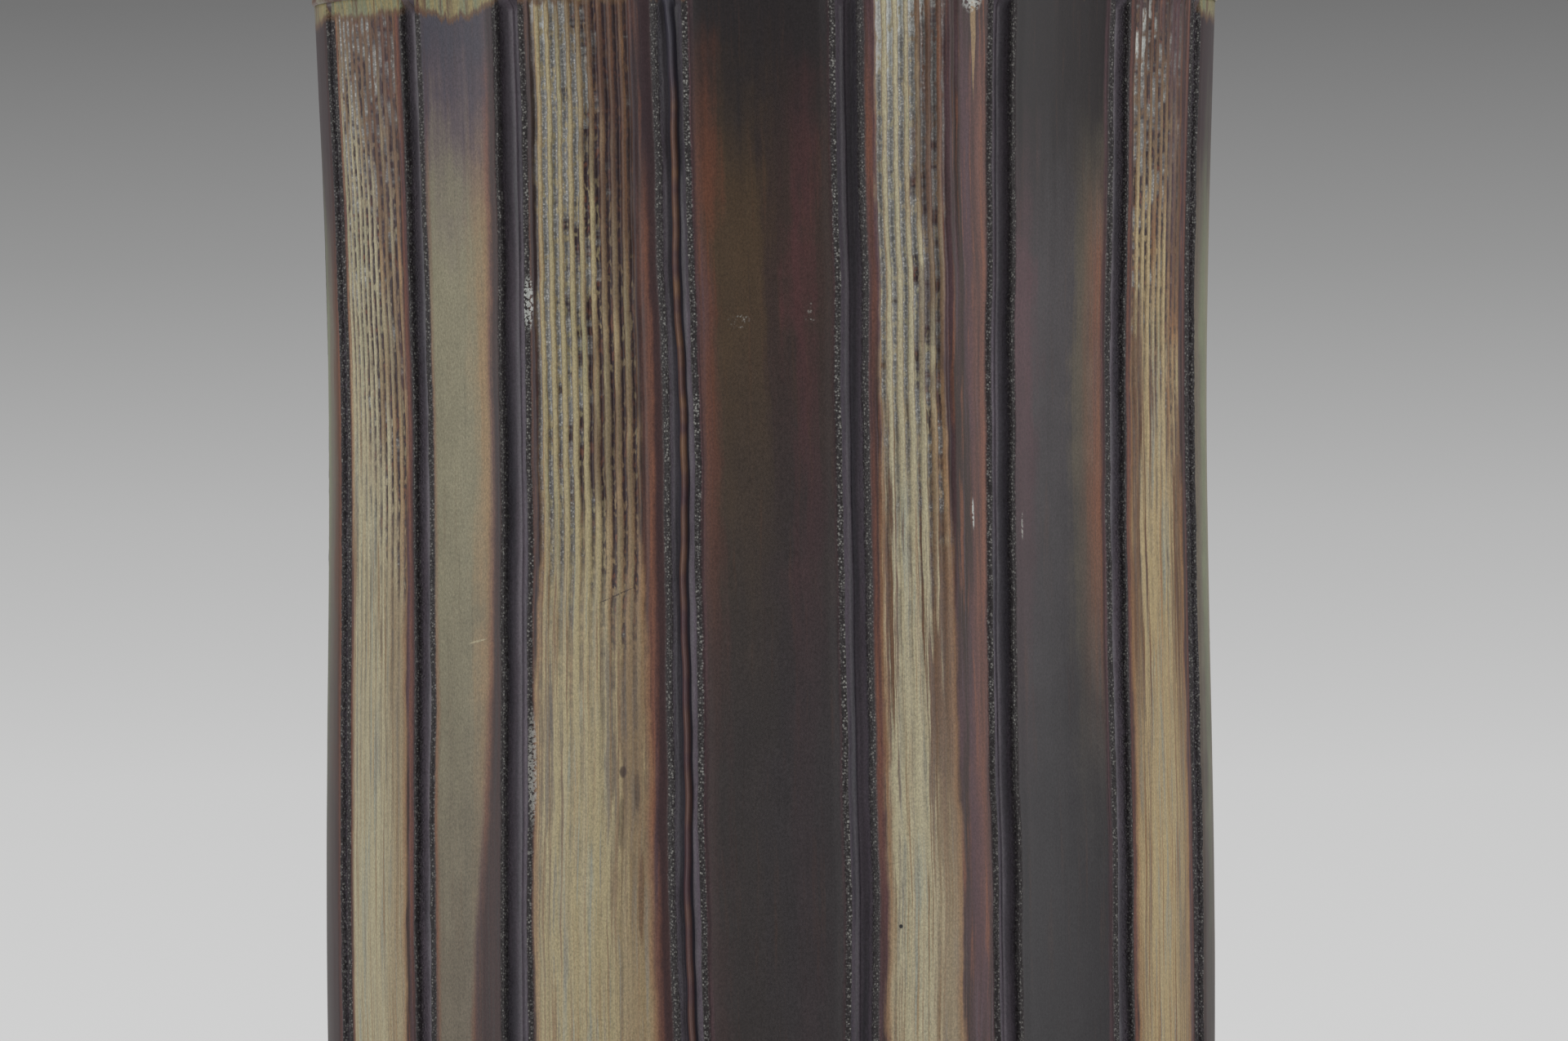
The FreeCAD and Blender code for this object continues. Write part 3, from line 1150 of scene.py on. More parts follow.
@dataclass(frozen=True)
class FinFinish(Finish):
    """The wavy fin's rusty crest over slate flanks."""

    def paint(self, graph: Graph) -> Feeds:
        """Paints crest and flanks.

        Args:
            graph: The material's tree.

        Returns:
            What goes into the shader, and the relief.
        """
        at = SatinGrain().place(graph)
        slow = graph.noise((0.0, 0.0, at.height * 0.09), 1.0, 3.0, 0.6)
        warm = lay(
            Glaze.UMBER_TAN,
            (slow.step(0.4, 0.6), Glaze.PLUM),
            (at.height.step(216.0, 178.0, 0.65), Glaze.PLUM),
            (at.height.step(252.0, 268.0), Glaze.STEEL),
        )
        return self.satin(graph, graph.field("crest").step(0.2, 0.6).blend(Glaze.STEEL, warm))


@dataclass(frozen=True)
class BandFinish(Finish):
    """Olive over brown, broken by the rim's edge."""

    def paint(self, graph: Graph) -> Feeds:
        """Paints the patches, the edge and a few crystals.

        Args:
            graph: The material's tree.

        Returns:
            What goes into the shader, and the relief.
        """
        SatinGrain().place(graph)
        at = Crystals().place(graph)
        patches = graph.noise((at.x, at.y, at.height), 0.3, 4.0, 0.65)
        colour = lay(
            Glaze.OLIVE,
            (patches.step(0.36, 0.54), Glaze.BROWN),
            ((at.height + patches.sway(1.0)).step(FORM.top + 3.6, FORM.top + 5.2), Glaze.UMBER),
            (at.spark * 0.2, Glaze.ASH),
        )
        return {"Roughness": at.fine.stretch(0.2, self.roughness - 0.1), **self.satin(graph, colour)}


@dataclass(frozen=True)
class InsideFinish(Finish):
    """The dark glaze inside, which breaks brown over the throwing rings."""

    def paint(self, graph: Graph) -> Feeds:
        """Paints the rings and clouds.

        Args:
            graph: The material's tree.

        Returns:
            What goes into the shader, and the relief.
        """
        at = SatinGrain().place(graph)
        breaking = (graph.field("crest") + at.cloud.sway(0.4)).step(0.55, 0.95, 0.7)
        colour = lay(Glaze.IRON_BLACK, (breaking, Glaze.BROWN), (at.cloud.step(0.55, 0.7, 0.4), Glaze.SLATE))
        return {"Roughness": at.cloud.stretch(0.3, self.roughness - 0.15), **self.satin(graph, colour)}


@dataclass(frozen=True)
class ClayFinish(Finish):
    """Bare stoneware, toasted by the fire, with dark specks of iron and pale grog."""

    glaze_line: float = 0.0

    def paint(self, graph: Graph) -> Feeds:
        """Paints the clay and, over the glaze line if there is one, dark satin glaze.

        Args:
            graph: The material's tree.

        Returns:
            What goes into the shader, and the relief.
        """
        SatinGrain().place(graph, size=0.5)
        at = Crystals().place(graph, size=0.7)
        clay = lay(
            Glaze.TOASTED_CLAY,
            (at.cloud.step(0.4, 0.65), Glaze.PALE_CLAY),
            (at.grain.step(0.75, 0.9, 0.6), Glaze.PALE_CREAM),
            (at.spark, Glaze.IRON_BLACK),
        )
        rough = at.fine.stretch(0.15, self.roughness)
        line = self.glaze_line
        if line:
            wavy = at.height + at.cloud.sway(0.8)
            glazed = wavy.step(line - 0.1, line + 0.1)
            dark = at.cloud.blend(Glaze.IRON_BLACK, Glaze.BROWN)
            clay = lay(clay, (wavy.step(line - 1.0, line - 0.1, 0.8), Glaze.RUST), (glazed, dark))
            rough = rough - glazed * 0.4
        return {**self.satin(graph, clay), "Roughness": rough, "Height": at.fine + at.grain}


@dataclass(frozen=True)
class FloorFinish(Finish):
    """Plain pale paint with a trace of grain."""

    def paint(self, graph: Graph) -> Feeds:
        """Paints the floor, which has no relief."""
        fine = SatinGrain().place(graph, size=2.0).fine
        return {"Base Color": fine.stretch(0.03, 0.985).shade(Glaze.FLOOR)}


def settle(piece: bpy.types.Object, node: str, slot: str, finish: Finish) -> None:
    """Lets a piece stand for its node and gives it its finish.

    Args:
        piece: The dressed piece.
        node: The node that it replaces.
        slot: The record's material slot. Not used.
        finish: Its finish.
    """
    piece.data.materials.append(finish.make())
    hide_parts(node)
    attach(piece, "root")
    LOG.info("%s: %d faces", piece.name, len(piece.data.polygons))


@dataclass(frozen=True)
class Comb:
    """The comb that one panel was drawn with."""

    pitch: float = 1.65
    depth: float = 0.42
    covered_depth: float = 0.045
    margins: tuple[float, float] = (1.0, 1.6)
    cover_height: float = 196.0
    foot_fade: float = 2.5
    rim_fade: float = 1.6
    seed: int = 0

    def flutes(self, left: Array, height: Array) -> Array:
        """The place across the comb, counted in flutes: whole at the middle of each hollow."""
        stray = Wander(self.seed, 0.12, (121.0, 53.0)).at(height)
        return (left - self.margins[0] - stray) / self.pitch - 0.5

    def cut(self, flutes: Array, left: Array, right: Array, height: Array) -> Array:
        """How deep the comb cut.

        Args:
            flutes: The place across the comb.
            left: Distance from the panel's left edge.
            right: Distance from its right edge.
            height: Heights.

        Returns:
            Millimetres inward.
        """
        wave = (0.5 + 0.5 * np.cos(2 * math.pi * flutes)) ** 1.4
        inside = smooth_step(left, self.margins[0] - 0.3, self.margins[0] + 0.5)
        inside *= smooth_step(right, self.margins[1] - 0.3, self.margins[1] + 1.2)
        open_share = smooth_step(height, self.cover_height - 25, self.cover_height + 20)
        depth = self.covered_depth + (self.depth - self.covered_depth) * open_share
        uneven = 0.7 + 0.6 * lattice_noise(flutes * self.pitch, height, (1.65, 7.0), self.seed + 5)
        return wave * inside * depth * uneven * FORM.ends(height, self.foot_fade, self.rim_fade)


@dataclass(frozen=True)
class Panel:
    """A strip of the vase's face from the middle of one groove to the middle of the next."""

    number: int
    before: Groove
    after: Groove
    finish: PanelFinish
    comb: Comb | None = None
    rows: int = 580
    wall_points: int = 9
    edge_points: int = 10
    edge_width: float = 1.5
    back_points: int = 6
    face_step: float = 0.34
    comb_step: float = 0.17
    back_value: float = 5.0
    slow_swell: float = 0.16
    quick_swell: float = 0.035

    def columns(self, span: Array, left_half: Array, right_half: Array) -> Array:
        """The places of the mesh's columns, from one groove's middle to the other's.

        Args:
            span: The distance between the two middles, row by row.
            left_half: The left groove's half width.
            right_half: The right groove's half width.

        Returns:
            Millimetres from the left groove's middle, a row of them for each row.
        """
        wall = 1 - (1 - np.arange(self.wall_points) / self.wall_points) ** 1.6
        edge = np.linspace(0, self.edge_width, self.edge_points)
        width = float(np.mean(span - left_half - right_half)) - 2 * self.edge_width
        count = round(width / (self.comb_step if self.comb else self.face_step))
        shares = np.linspace(0, 1, count + 1)[1:-1]
        halves = (left_half[:, None], right_half[:, None])
        left, right = (np.concatenate([half * wall, half + edge], axis=1) for half in halves)
        right = (span[:, None] - right)[:, ::-1]
        start, end = left[:, -1:], right[:, :1]
        return np.concatenate([left, start + (end - start) * shares, right], axis=1)

    def build(self) -> bpy.types.Object:
        """Builds the closed mesh with the places that its material reads.

        Returns:
            The piece.
        """
        height = FORM.heights(self.rows)
        radius = FORM.radius(height)
        turn = FULL_TURN if self.after.number < self.before.number else 0.0
        start, end = self.before.centre(height), self.after.centre(height) + turn
        left_half = self.before.half_width(Side.AFTER, height)
        right_half = self.after.half_width(Side.BEFORE, height)
        span = np.radians(end - start) * radius
        place = self.columns(span, left_half, right_half)
        level = np.repeat(height[:, None], place.shape[1], axis=1)
        left = place - left_half[:, None]
        right = span[:, None] - place - right_half[:, None]
        relief = self.before.cut(Side.AFTER, left, level) + self.after.cut(Side.BEFORE, right, level)
        relief += self.unevenness(left, right, level)
        flutes = left / self.edge_width
        if self.comb:
            flutes = self.comb.flutes(left, level)
            relief -= self.comb.cut(flutes, left, right, level)
        angle = start[:, None] + np.degrees(place / radius[:, None])
        outer = round_points(radius[:, None] + relief, angle, level)
        back_angle = start[:, None] + (end - start)[:, None] * np.linspace(1, 0, self.back_points)
        back_radius = np.repeat((radius - FORM.panel_thickness)[:, None], self.back_points, axis=1)
        back = round_points(back_radius, back_angle, level[:, : self.back_points])
        kind, slot = ("combed", "cream_glaze") if self.comb else ("smooth", "brown_glaze")
        node = f"{kind}_panel_{self.number:02d}"
        piece = make_strip(f"{node}_glazed", outer, back)
        for name, values in (("from_left", left), ("from_right", right), ("flute", flutes)):
            padded = np.pad(values, ((0, 0), (0, self.back_points)), constant_values=self.back_value)
            add_field(piece, name, padded)
        settle(piece, node, slot, self.finish)
        return piece

    def unevenness(self, left: Array, right: Array, height: Array) -> Array:
        """The soft swells that hands leave on clay, which end at the edges.

        Args:
            left: Distance from the panel's left edge.
            right: Distance from its right edge.
            height: Heights.

        Returns:
            Millimetres outward.
        """
        slow = lattice_noise(left, height, (7.0, 34.0), self.number) - 0.5
        quick = lattice_noise(left, height, (1.6, 9.0), self.number + 50) - 0.5
        swell = self.slow_swell * slow + self.quick_swell * quick
        return swell * smooth_step(np.minimum(left, right), 0.0, 3.0)


@dataclass(frozen=True)
class Fin:
    """The wavy strip left standing in the groove that was cut twice."""

    groove: Groove
    finish: FinFinish
    wander: Wander = Wander(5, 0.17, (47.0, 21.0, 9.0))
    height: float = 0.95
    half_width: float = 0.56
    foot_width: float = 1.0
    sunk: float = 0.12
    end_length: float = 3.0
    grain: float = 0.04
    rows: int = 579
    columns: int = 19

    def build(self) -> bpy.types.Object:
        """Builds the closed mesh.

        Returns:
            The piece.
        """
        height = FORM.heights(self.rows)
        radius = FORM.radius(height)
        stray = self.wander.at(height)
        across = np.linspace(-self.foot_width, self.foot_width, self.columns)
        level = np.repeat(height[:, None], self.columns, axis=1)
        uneven = 0.72 + 0.5 * lattice_noise(np.zeros_like(height), height, (1.0, 9.0), 77)
        ends = FORM.ends(height, self.end_length, self.end_length)
        bell = np.exp(-((across / self.half_width) ** 2))
        crest = bell - bell[0]
        grain = lattice_noise(np.tile(across, (self.rows, 1)), level, (0.3, 0.9), 78) - 0.5
        rise = crest * ((self.height * uneven * ends)[:, None] + self.grain * grain)
        floor = radius - self.groove.depth * np.maximum(ends, 0.05) - 0.02
        angle = self.groove.centre(height)[:, None] + np.degrees((across + stray[:, None]) / radius[:, None])
        outer = round_points(floor[:, None] + rise, angle, level)
        back = round_points((floor - self.sunk)[:, None], angle[:, [-1, 0]], level[:, :2])
        piece = make_strip("groove_fin_glazed", outer, back)
        add_field(piece, "crest", np.pad(np.tile(crest, (self.rows, 1)), ((0, 0), (0, 2))))
        settle(piece, "groove_fin", "rust_glaze", self.finish)
        return piece


@dataclass(frozen=True)
class Turned:
    """A ring or a disc turned about the vase's axis."""

    node: str
    slot: str
    seed: int
    segments: int = 288
    sharp_angle: float = 35.0

    @property
    def box(self) -> tuple[float, float, float]:
        """The node's bottom, its top and its outer radius."""
        low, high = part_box(self.node)
        return low.z / MM, high.z / MM, high.x / MM

    def turn(
        self, name: str, outline: list[tuple[float, float]], marks: Array, finish: Finish, closed: bool = True
    ) -> bpy.types.Object:
        """Turns an outline about the axis and gives it its finish.

        Args:
            name: The piece's name.
            outline: Radius and height of each point, anticlockwise as seen with the axis at the left.
            marks: How far each point is pushed outward, one column for each segment.
            finish: The piece's finish.
            closed: Whether the outline closes on itself. If not, both its ends are capped.

        Returns:
            The piece.
        """
        rows = len(outline)
        angle = np.tile(np.arange(self.segments) * FULL_TURN / self.segments, (rows, 1))
        radius, height = (np.array(values)[:, None] for values in zip(*outline))
        points = round_points(radius + marks, angle, np.tile(height, (1, self.segments)))
        quads = loop_quads(rows + closed, self.segments) % (rows * self.segments)
        caps = [] if closed else end_caps(rows, self.segments)
        piece = make_mesh(name, points.reshape(-1, 3), quads, np.ones(len(quads), bool), caps)
        piece.data.set_sharp_from_angle(angle=math.radians(self.sharp_angle))
        settle(piece, self.node, self.slot, finish)
        return piece

    def round_noise(self, count: int, cells: tuple[float, float]) -> Array:
        """Noise that closes round the turn.

        Args:
            count: How many points the outline has.
            cells: How fine the noise is round the turn, and its cell along the outline.

        Returns:
            A number for each point and segment.
        """
        turns = np.arange(self.segments) / self.segments * 2 * math.pi
        rows = np.repeat(np.arange(count)[:, None].astype(float), self.segments, axis=1)
        east = lattice_noise(np.cos(turns)[None, :] * cells[0] + 40.0, rows, (1.0, cells[1]), self.seed)
        north = lattice_noise(np.sin(turns)[None, :] * cells[0] + 90.0, rows, (1.0, cells[1]), self.seed + 1)
        return (east + north) / 2


@dataclass(frozen=True)
class RimBand(Turned):
    """The plain band over the panels, with a soft lip."""

    node: str = "rim_band"
    slot: str = "olive_glaze"
    seed: int = 300
    corner_points: int = 9
    lip_share: float = 0.42
    under_edge: float = 0.35
    unevenness: float = 0.16

    def build(self) -> None:
        """Builds the band."""
        bottom, top, outer = self.box
        inner = FORM.rim_radius - FORM.panel_thickness - FORM.seat_gap - FORM.wall_thickness
        lip = (top - bottom) * self.lip_share
        outline = [(inner, bottom), (outer - self.under_edge, bottom), (outer, bottom + self.under_edge)]
        for middle, start in ((outer - lip, 0.0), (inner + lip, 90.0)):
            for turn in np.radians(np.linspace(start, start + 90.0, self.corner_points)):
                outline.append((middle + lip * math.cos(turn), top - lip + lip * math.sin(turn)))
        outline.append((inner, bottom + 1.0))
        marks = -self.unevenness * self.round_noise(len(outline), (9.0, 4.0))
        marks[0] = 0.0
        self.turn("rim_band_glazed", outline, marks, BandFinish("rim glaze", 0.42))


@dataclass(frozen=True)
class InnerWall(Turned):
    """The thrown wall behind the panels, with its throwing rings inside."""

    node: str = "inner_wall"
    slot: str = "dark_glaze"
    seed: int = 310
    ring_pitch: float = 7.5
    ring_depth: float = 0.3
    inner_rows: int = 250
    outer_rows: int = 24

    def build(self) -> None:
        """Builds the wall."""
        outside = FORM.panel_thickness + FORM.seat_gap
        inside = outside + FORM.wall_thickness
        up, down = FORM.heights(self.outer_rows), FORM.heights(self.inner_rows)[::-1]
        outline = [(FORM.radius(z) - outside, z) for z in up] + [(FORM.radius(z) - inside, z) for z in down]
        turns = np.arange(self.segments) / self.segments
        rings = 0.5 + 0.5 * np.cos(2 * math.pi * (down[:, None] / self.ring_pitch + turns))
        crest = rings * (0.5 + self.round_noise(self.inner_rows, (5.0, 30.0)))
        plain = np.zeros((self.outer_rows, self.segments))
        marks = np.concatenate([plain, (1 - crest) * self.ring_depth])
        marks[self.outer_rows] = marks[-1] = 0.0
        piece = self.turn("inner_wall_thrown", outline, marks, InsideFinish("inside glaze", 0.4))
        add_field(piece, "crest", np.concatenate([plain, crest]))


@dataclass(frozen=True)
class BaseSlab(Turned):
    """The base, where the glaze ends in a thick roll over bare clay."""

    node: str = "base_slab"
    slot: str = "dark_glaze"
    seed: int = 320
    glaze_line: float = 9.6
    roll: float = 0.35
    roll_length: float = 1.6
    lip: float = 0.15
    chamfer: float = 0.7
    ease: float = 0.1
    rings: int = 40
    unevenness: float = 0.12

    def build(self) -> None:
        """Builds the slab: underside, edge with its roll of glaze, and the floor inside."""
        bottom, top, outer = self.box
        line, neck = self.glaze_line, outer - self.roll
        under = [(outer * share, bottom) for share in np.linspace(0.02, 0.985, self.rings)]
        edge = [(outer - self.chamfer, bottom + self.ease), (neck - self.ease, bottom + self.chamfer)]
        edge += [(neck, line - self.roll), (outer, line + self.lip), (outer, line + 2 * self.roll)]
        edge += [(outer - self.lip, line + self.roll_length), (outer, top)]
        floor = [(outer * share, top) for share in np.linspace(0.94, 0.02, self.rings)]
        outline = under + edge + floor
        marks = -self.unevenness * self.round_noise(len(outline), (14.0, 5.0))
        marks[len(under) + len(edge) - 1 :] = 0.0
        finish = ClayFinish("base glaze", 0.72, 0.12, glaze_line=line)
        self.turn("base_slab_fired", outline, marks, finish, closed=False)


@dataclass(frozen=True)
class FootRing(Turned):
    """The unglazed ring that the vase stands on, with marks of the turning tool."""

    node: str = "foot_ring"
    slot: str = "bare_clay"
    seed: int = 330
    width: float = 9.0
    bevel: float = 1.2
    tool_depth: float = 0.08
    unevenness: float = 0.1
    rows: int = 22

    def build(self) -> None:
        """Builds the ring."""
        bottom, top, outer = self.box
        inner = outer - self.width
        side = np.linspace(bottom + self.bevel, top, self.rows)
        outline = [(inner + self.bevel, bottom), (outer - self.bevel, bottom)] + [(outer, z) for z in side]
        outline += [(inner, z) for z in side[::-1]]
        tool = self.tool_depth * np.cos(np.arange(len(outline)) * 2.4)[:, None]
        marks = tool - self.unevenness * (1 + self.round_noise(len(outline), (16.0, 3.0)))
        marks[:2] = 0.0
        self.turn("foot_ring_fired", outline, marks, ClayFinish("bare clay", 0.78, 0.15))


# Each groove's angle at the rim, at the belly and at the foot.
GROOVE_ANGLES = (
    (-73.9, -71.6, -70.6), (-51.2, -49.9, -49.4), (-34.0, -33.9, -33.2), (-12.0, -10.4, -9.0),
    (10.1, 11.5, 11.0), (31.1, 31.3, 32.8), (51.2, 51.3, 52.4), (72.0, 73.2, 75.0), (92.6, 92.9, 94.2),
    (110.9, 111.8, 112.6), (132.6, 132.0, 133.4), (151.4, 150.5, 151.2), (170.4, 171.6, 172.5),
    (191.0, 190.2, 190.6), (209.2, 209.9, 211.4), (229.6, 228.6, 228.9), (247.9, 249.4, 250.2),
    (268.4, 267.6, 268.8),
)
WIDE_GROOVE = 3
FIN_GROOVE = 4
SILHOUETTE_GROOVES = (9, 18)

# The combed panels that the front shows, by their numbers.
FRONT_COMBED = {
    1: (Comb(margins=(1.0, 1.8)), CombedFinish(
        margins=(1.4, 2.5), top_margins=(1.0, 2.0), settle=(0.42, 0.3), cover_height=206.0, cover_lean=34.0,
        edges=Edges(0.7, 1.3, 0.9, 1.0), droop=0.6, brown_heights=(262.0, 252.0), reach=282.0,
        ash_height=300.0, wear=0.3, toast=0.3, clean=0.3, ridge=Glaze.PALE_CREAM)),
    3: (Comb(margins=(1.3, 3.2)), CombedFinish(
        margins=(0.9, 2.8), top_margins=(1.9, 4.3), settle=(0.85, 0.05), cover_height=192.0, top_band=0.9,
        edges=Edges(0.7, 2.2, 0.5, 2.2, line=Glaze.DEEP_PLUM, halo_heights=(-100.0, 246.0)),
        ground=Glaze.DEEP_PLUM, ground_lines=0.3, frost=0.5, brown_heights=(281.0, 240.0), reach=280.0,
        ash_height=277.0, wear=0.45, marks=(
            Mark(0.6, 230.1, 0.9, 4.4, Glaze.PALE_ASH, 0.8, speckle=0.44),
            Mark(0.7, 163.6, 0.8, 9.4, Glaze.ASH, 0.65, speckle=0.43),
            Mark(15.1, 163.2, 0.6, 1.0, Glaze.DEEP_PLUM, 0.75),
            Mark(14.8, 155.9, 0.5, 4.6, Glaze.UMBER, 0.45),
            Mark(18.0, 145.4, 0.5, 8.0, Glaze.BROWN, 0.6),
            Mark(17.2, 160.6, 0.5, 3.4, Glaze.UMBER, 0.5),
            Mark(14.1, 188.3, 3.1, 0.16, Glaze.UMBER, 0.8, lean=0.42, speckle=0.4),
        ))),
    5: (Comb(margins=(2.2, 5.6)), CombedFinish(
        margins=(1.9, 5.6), top_margins=(2.3, 7.4), settle=(0.8, 0.55), clean=0.42, cover_height=207.0,
        edges=Edges(1.0, 0.9, 1.4, 3.2, halo_heights=(150.0, 266.0)), top_band=-3.0,
        brown_heights=(300.0, 248.0), reach=286.0, ash_height=266.0, wear=0.5, toast=0.85,
        ridge=Glaze.PALE_CREAM, marks=(
            Mark(3.9, 141.0, 0.36, 0.36, Glaze.IRON_BLACK, 1.0),
            Mark(16.3, 199.6, 0.2, 2.5, Glaze.PALE_ASH, 0.85, lean=-3.0, speckle=0.4),
            Mark(17.4, 266.6, 0.4, 10.5, Glaze.TAN, 0.95, taper=0.045),
            Mark(17.2, 274.2, 2.2, 3.6, Glaze.PALE_ASH, 0.7, speckle=0.46),
        ))),
    7: (Comb(margins=(1.8, 2.4)), CombedFinish(
        margins=(1.6, 3.0), top_margins=(1.9, 3.4), settle=(0.38, 0.25), cover_height=222.0,
        edges=Edges(1.0, 1.3, 0.8, 1.4), top_band=-3.0, brown_heights=(250.0, 248.0), reach=267.0,
        ash_height=271.0, wear=0.6, toast=0.85, clean=0.5, ridge=Glaze.WARM_CREAM, side=Glaze.TOAST)),
}

OLIVE_FINISH = SmoothFinish(
    tones=(Glaze.OLIVE, Glaze.OLIVE, Glaze.TAN), top=Glaze.STEEL, low=Glaze.DRIFTWOOD, top_height=265.0,
    top_reach=14.0, under_top=Glaze.MAUVE, low_height=162.0, low_share=1.0, top_band=1.4, droop=2.2,
    edges=Edges(0.4, 2.0, 1.6, 1.4, line=Glaze.GREY_SLATE, left_growth=0.6, right_growth=4.6))
BROWN_FINISH = SmoothFinish(
    tones=(Glaze.DARK_RUST, Glaze.OLIVE_BROWN, Glaze.OLIVE_BROWN, Glaze.UMBER, Glaze.DARK_RED, Glaze.UMBER),
    top=Glaze.IRON_BLACK, low=Glaze.GREY_SLATE, top_height=260.0, low_height=204.0, low_share=0.85,
    top_band=1.2, droop=-0.5, frost=0.6,
    edges=Edges(1.4, 1.0, 3.0, 0.0, Glaze.DARK_RUST, halo_heights=(200.0, 241.0)))
SLATE_FINISH = SmoothFinish(
    tones=(Glaze.PLUM, Glaze.SLATE, Glaze.SLATE, Glaze.OLIVE_SLATE, Glaze.DRIFTWOOD), top=Glaze.IRON_BLACK,
    low=Glaze.GREY_SLATE, top_height=252.0, low_height=190.0, low_share=1.0, top_band=0.0,
    edges=Edges(0.6, 1.8, 0.0, 5.6, halo_heights=(182.0, 245.0)))
MOSS_FINISH = SmoothFinish(
    tones=(Glaze.OLIVE, Glaze.MOSS, Glaze.DRIFTWOOD, Glaze.BROWN), top=Glaze.DEEP_PLUM, low=Glaze.DEEP_PLUM,
    top_height=246.0, low_height=176.0, low_share=0.9, edges=Edges(1.3, 1.0, 0.8, 1.6))
GREEN_FINISH = replace(
    MOSS_FINISH, tones=(Glaze.DRIFTWOOD, Glaze.MOSS, Glaze.OLIVE, Glaze.OLIVE), top_height=251.0,
    low_height=162.0, edges=Edges(0.7, 1.0, 0.7, 1.6))
SMOOTH_FINISHES = {
    2: replace(OLIVE_FINISH, marks=(Mark(9.6, 181.8, 1.9, 0.18, Glaze.PALE_CREAM, 0.7, lean=0.2),)),
    4: replace(BROWN_FINISH, marks=(
        Mark(6.9, 227.1, 1.8, 1.3, Glaze.ASH, 0.45, dotted=True),
        Mark(17.0, 228.3, 1.0, 1.8, Glaze.ASH, 0.4, dotted=True),
    )),
    6: replace(SLATE_FINISH, marks=(Mark(1.9, 197.8, 0.18, 2.2, Glaze.ASH, 0.8, speckle=0.42),)),
    8: GREEN_FINISH, 10: BROWN_FINISH, 12: OLIVE_FINISH, 14: SLATE_FINISH, 16: BROWN_FINISH, 18: MOSS_FINISH,
}


@dataclass(frozen=True)
class Panels:
    """All panels and grooves round the vase."""

    wide_width: float = 4.0
    fin_width: float = 3.7
    fin_depth: float = 1.3
    quiet_burr: float = 0.07

    @cached_property
    def grooves(self) -> list[Groove]:
        """The grooves, the wide one and the one with the fin among them.

        Returns:
            A groove for each row of angles.
        """
        made = []
        for number, angles in enumerate(GROOVE_ANGLES, 1):
            width = {WIDE_GROOVE: self.wide_width, FIN_GROOVE: self.fin_width}.get(number, Groove.width)
            depth = self.fin_depth if number == FIN_GROOVE else Groove.depth
            burr = self.quiet_burr if number in SILHOUETTE_GROOVES else Groove.burr_height
            made.append(Groove(number, angles, width, depth, burr))
        return made

    def combed(self, number: int) -> tuple[Comb, CombedFinish]:
        """A combed panel's comb and glaze. Those that the front shows have their own.

        Args:
            number: The panel's number.

        Returns:
            The comb and the finish.
        """
        if number in FRONT_COMBED:
            return FRONT_COMBED[number]
        draw = np.random.default_rng(number).uniform
        left, right = draw(0.6, 2.0), draw(1.4, 3.6)
        cover = draw(184.0, 214.0)
        finish = CombedFinish(
            margins=(left, right * 0.7), top_margins=(left, right + 0.8),
            settle=(draw(0.5, 0.9), draw(0.2, 0.6)), cover_height=cover,
            brown_heights=(draw(258.0, 290.0), draw(238.0, 262.0)),
            reach=draw(266.0, 284.0), ash_height=draw(266.0, 286.0), wear=draw(0.2, 0.6),
            edges=Edges(draw(0.7, 1.2), draw(0.9, 1.5), draw(0.6, 1.6), draw(0.8, 1.6)),
        )
        return Comb(margins=(left, right), cover_height=cover, seed=number), finish

    def build(self) -> None:
        """Builds every panel and the fin."""
        for before, after in zip(self.grooves, self.grooves[1:] + self.grooves[:1]):
            number = before.number
            kind = "combed" if number % 2 else "smooth"
            comb, finish = self.combed(number) if number % 2 else (None, SMOOTH_FINISHES[number])
            finish = replace(finish, name=f"{kind} glaze {number:02d}", seed=number)
            Panel(number, before, after, finish, comb).build()
        Fin(self.grooves[FIN_GROOVE - 1], FinFinish("fin glaze", 0.42)).build()


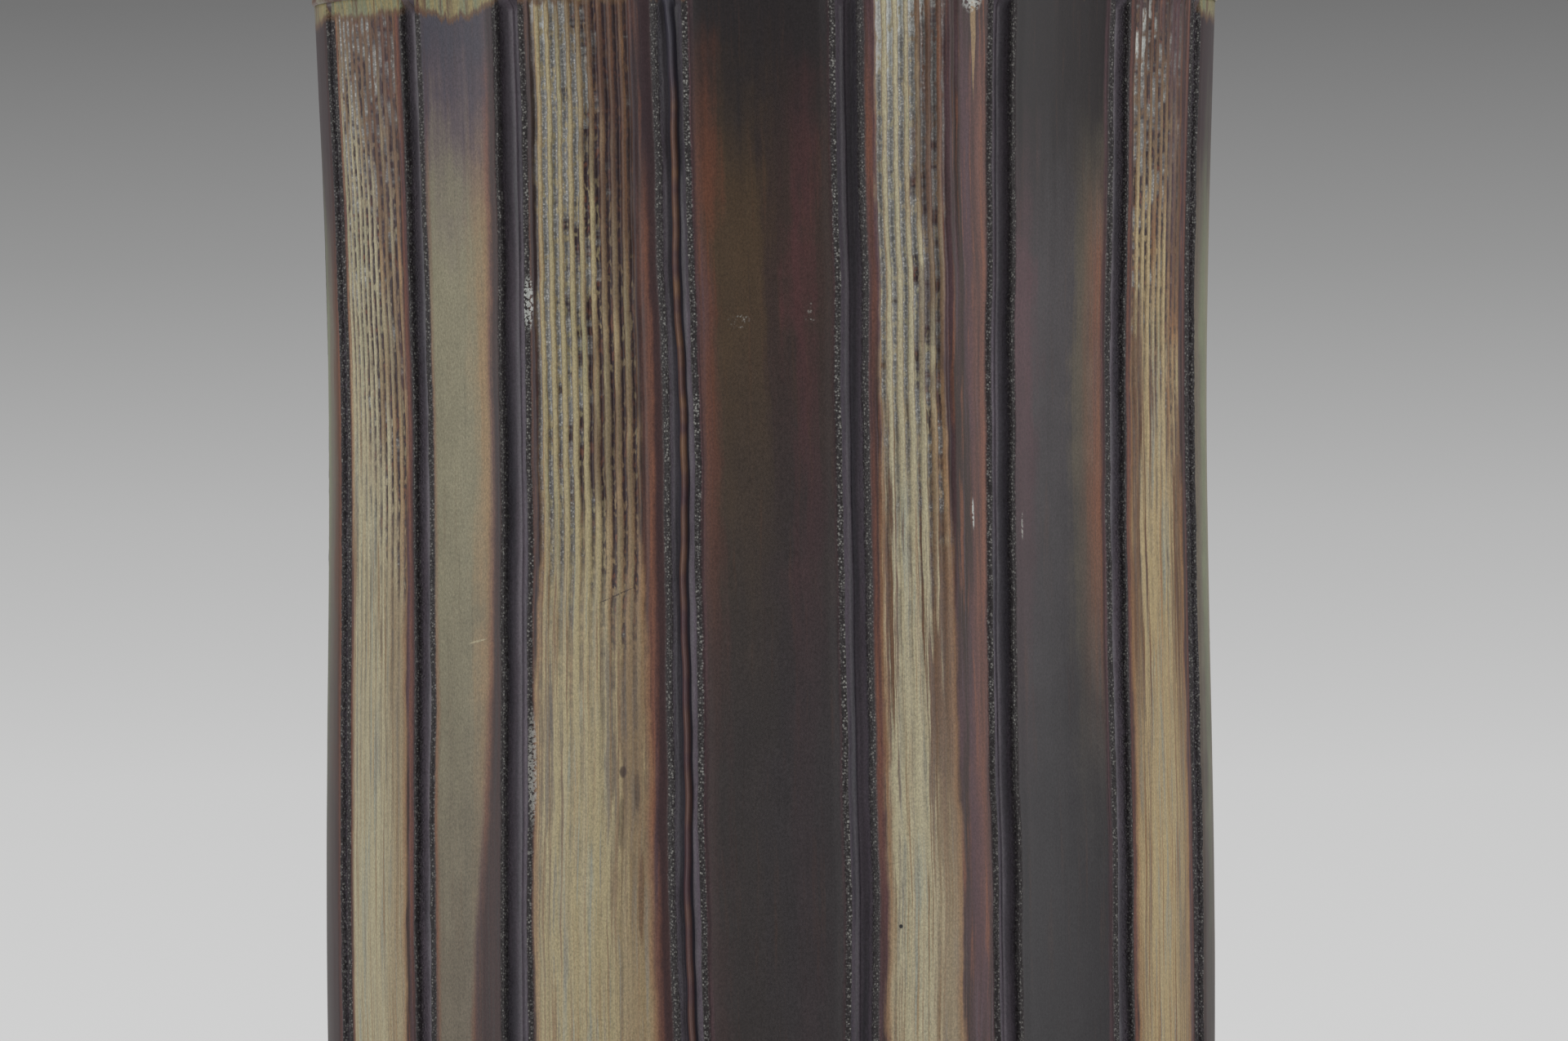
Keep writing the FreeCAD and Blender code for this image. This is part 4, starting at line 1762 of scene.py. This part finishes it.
@dataclass(frozen=True)
class Studio:
    """The floor, the backdrop's gradient, two soft lights and the camera."""

    image_width: int = 1920
    image_height: int = 1275
    lens: float = 313.0
    sensor: float = 36.0
    distance: float = 2000.0
    aim_right: float = 2.3
    aim_height: float = 198.8
    roll: float = 0.36
    backdrop_greys: tuple[int, ...] = (208, 201, 181, 149, 115)
    floor_radius: float = 900.0
    floor_points: int = 160
    fill: float = 0.34
    light_azimuth: float = 60.0
    light_distance: float = 1300.0
    light_height: float = 420.0
    light_size: tuple[float, float] = (900.0, 1500.0)
    light_power: float = 15.0

    def build(self) -> None:
        """Sets up everything round the vase."""
        self.make_camera()
        self.make_world()
        self.make_floor()
        for name, side in (("left light", -1), ("right light", 1)):
            self.make_light(name, side)
        bpy.context.scene.view_settings.view_transform = "Standard"

    def make_camera(self) -> None:
        """The camera, level with the vase's upper half and turned a touch about its view."""
        data = bpy.data.cameras.new("camera")
        data.lens, data.sensor_width = self.lens, self.sensor
        camera = bpy.data.objects.new("camera", data)
        camera.location = (self.aim_right * MM, -self.distance * MM, self.aim_height * MM)
        camera.rotation_euler = (math.radians(90.0), math.radians(self.roll), 0.0)
        bpy.context.scene.collection.objects.link(camera)
        bpy.context.scene.camera = camera

    def make_world(self) -> None:
        """A grey gradient behind the vase, and an even fill for the light that falls on it."""
        world = bpy.data.worlds.new("studio")
        bpy.context.scene.world = world
        world.use_nodes = True
        world.node_tree.nodes.clear()
        graph = Graph(world.node_tree)
        view = graph.value("ShaderNodeTexCoord", {}, "Generated")
        up = graph.value("ShaderNodeSeparateXYZ", {0: view}, 2)
        reach = self.sensor / self.image_width * self.image_height / 2 / self.lens
        share = graph.value("ShaderNodeMapRange", {0: up, 1: -reach, 2: reach})
        ramp = graph.add("ShaderNodeValToRGB", {0: share})
        stops = ramp.color_ramp.elements
        for place in np.linspace(0, 1, len(self.backdrop_greys))[1:-1]:
            stops.new(place)
        for stop, grey in zip(stops, self.backdrop_greys):
            stop.color = linear_colour((grey, grey, grey))
        kinds = ("Is Camera Ray", "Is Glossy Ray", "Is Transmission Ray")
        seen, *others = graph.values("ShaderNodeLightPath", {}, *kinds)
        for other in others:
            seen = graph.math("MAXIMUM", seen, other)
        white = (1.0, 1.0, 1.0, 1.0)
        fill = graph.value("ShaderNodeBackground", {"Color": white, "Strength": self.fill})
        backdrop = graph.value("ShaderNodeBackground", {"Color": Value(graph, ramp.outputs[0])})
        chosen = graph.value("ShaderNodeMixShader", {0: seen, 1: fill, 2: backdrop})
        graph.add("ShaderNodeOutputWorld", {"Surface": chosen})

    def make_floor(self) -> None:
        """A plain pale round floor, which the camera's own view doesn't reach."""
        count = self.floor_points
        angle = np.arange(count) * FULL_TURN / count
        points = round_points(np.full(count, self.floor_radius), angle, np.zeros(count))
        floor = make_mesh("floor", points, np.zeros((0, 4), int), np.zeros(0, bool), [np.arange(count)])
        floor.data.materials.append(FloorFinish("floor paint", 0.8).make())

    def make_light(self, name: str, side: int) -> None:
        """One soft light beside the camera.

        Args:
            name: The light's name.
            side: -1 at the left and 1 at the right.
        """
        data = bpy.data.lights.new(name, "AREA")
        data.shape = "RECTANGLE"
        data.size, data.size_y = (length * MM for length in self.light_size)
        data.energy = self.light_power
        light = bpy.data.objects.new(name, data)
        turn = math.radians(side * self.light_azimuth)
        reach = self.light_distance * MM
        light.location = (reach * math.sin(turn), -reach * math.cos(turn), self.light_height * MM)
        drop = (self.light_height - self.aim_height) * MM
        light.rotation_euler = (math.radians(90.0) - math.atan2(drop, reach), 0.0, turn)
        bpy.context.scene.collection.objects.link(light)


def main() -> None:
    """Builds the studio and every piece of the vase."""
    logging.basicConfig(level=logging.INFO, format="%(message)s")
    Studio().build()
    Panels().build()
    for ring in (RimBand(), InnerWall(), BaseSlab(), FootRing()):
        ring.build()


if __name__ == "__main__":
    main()
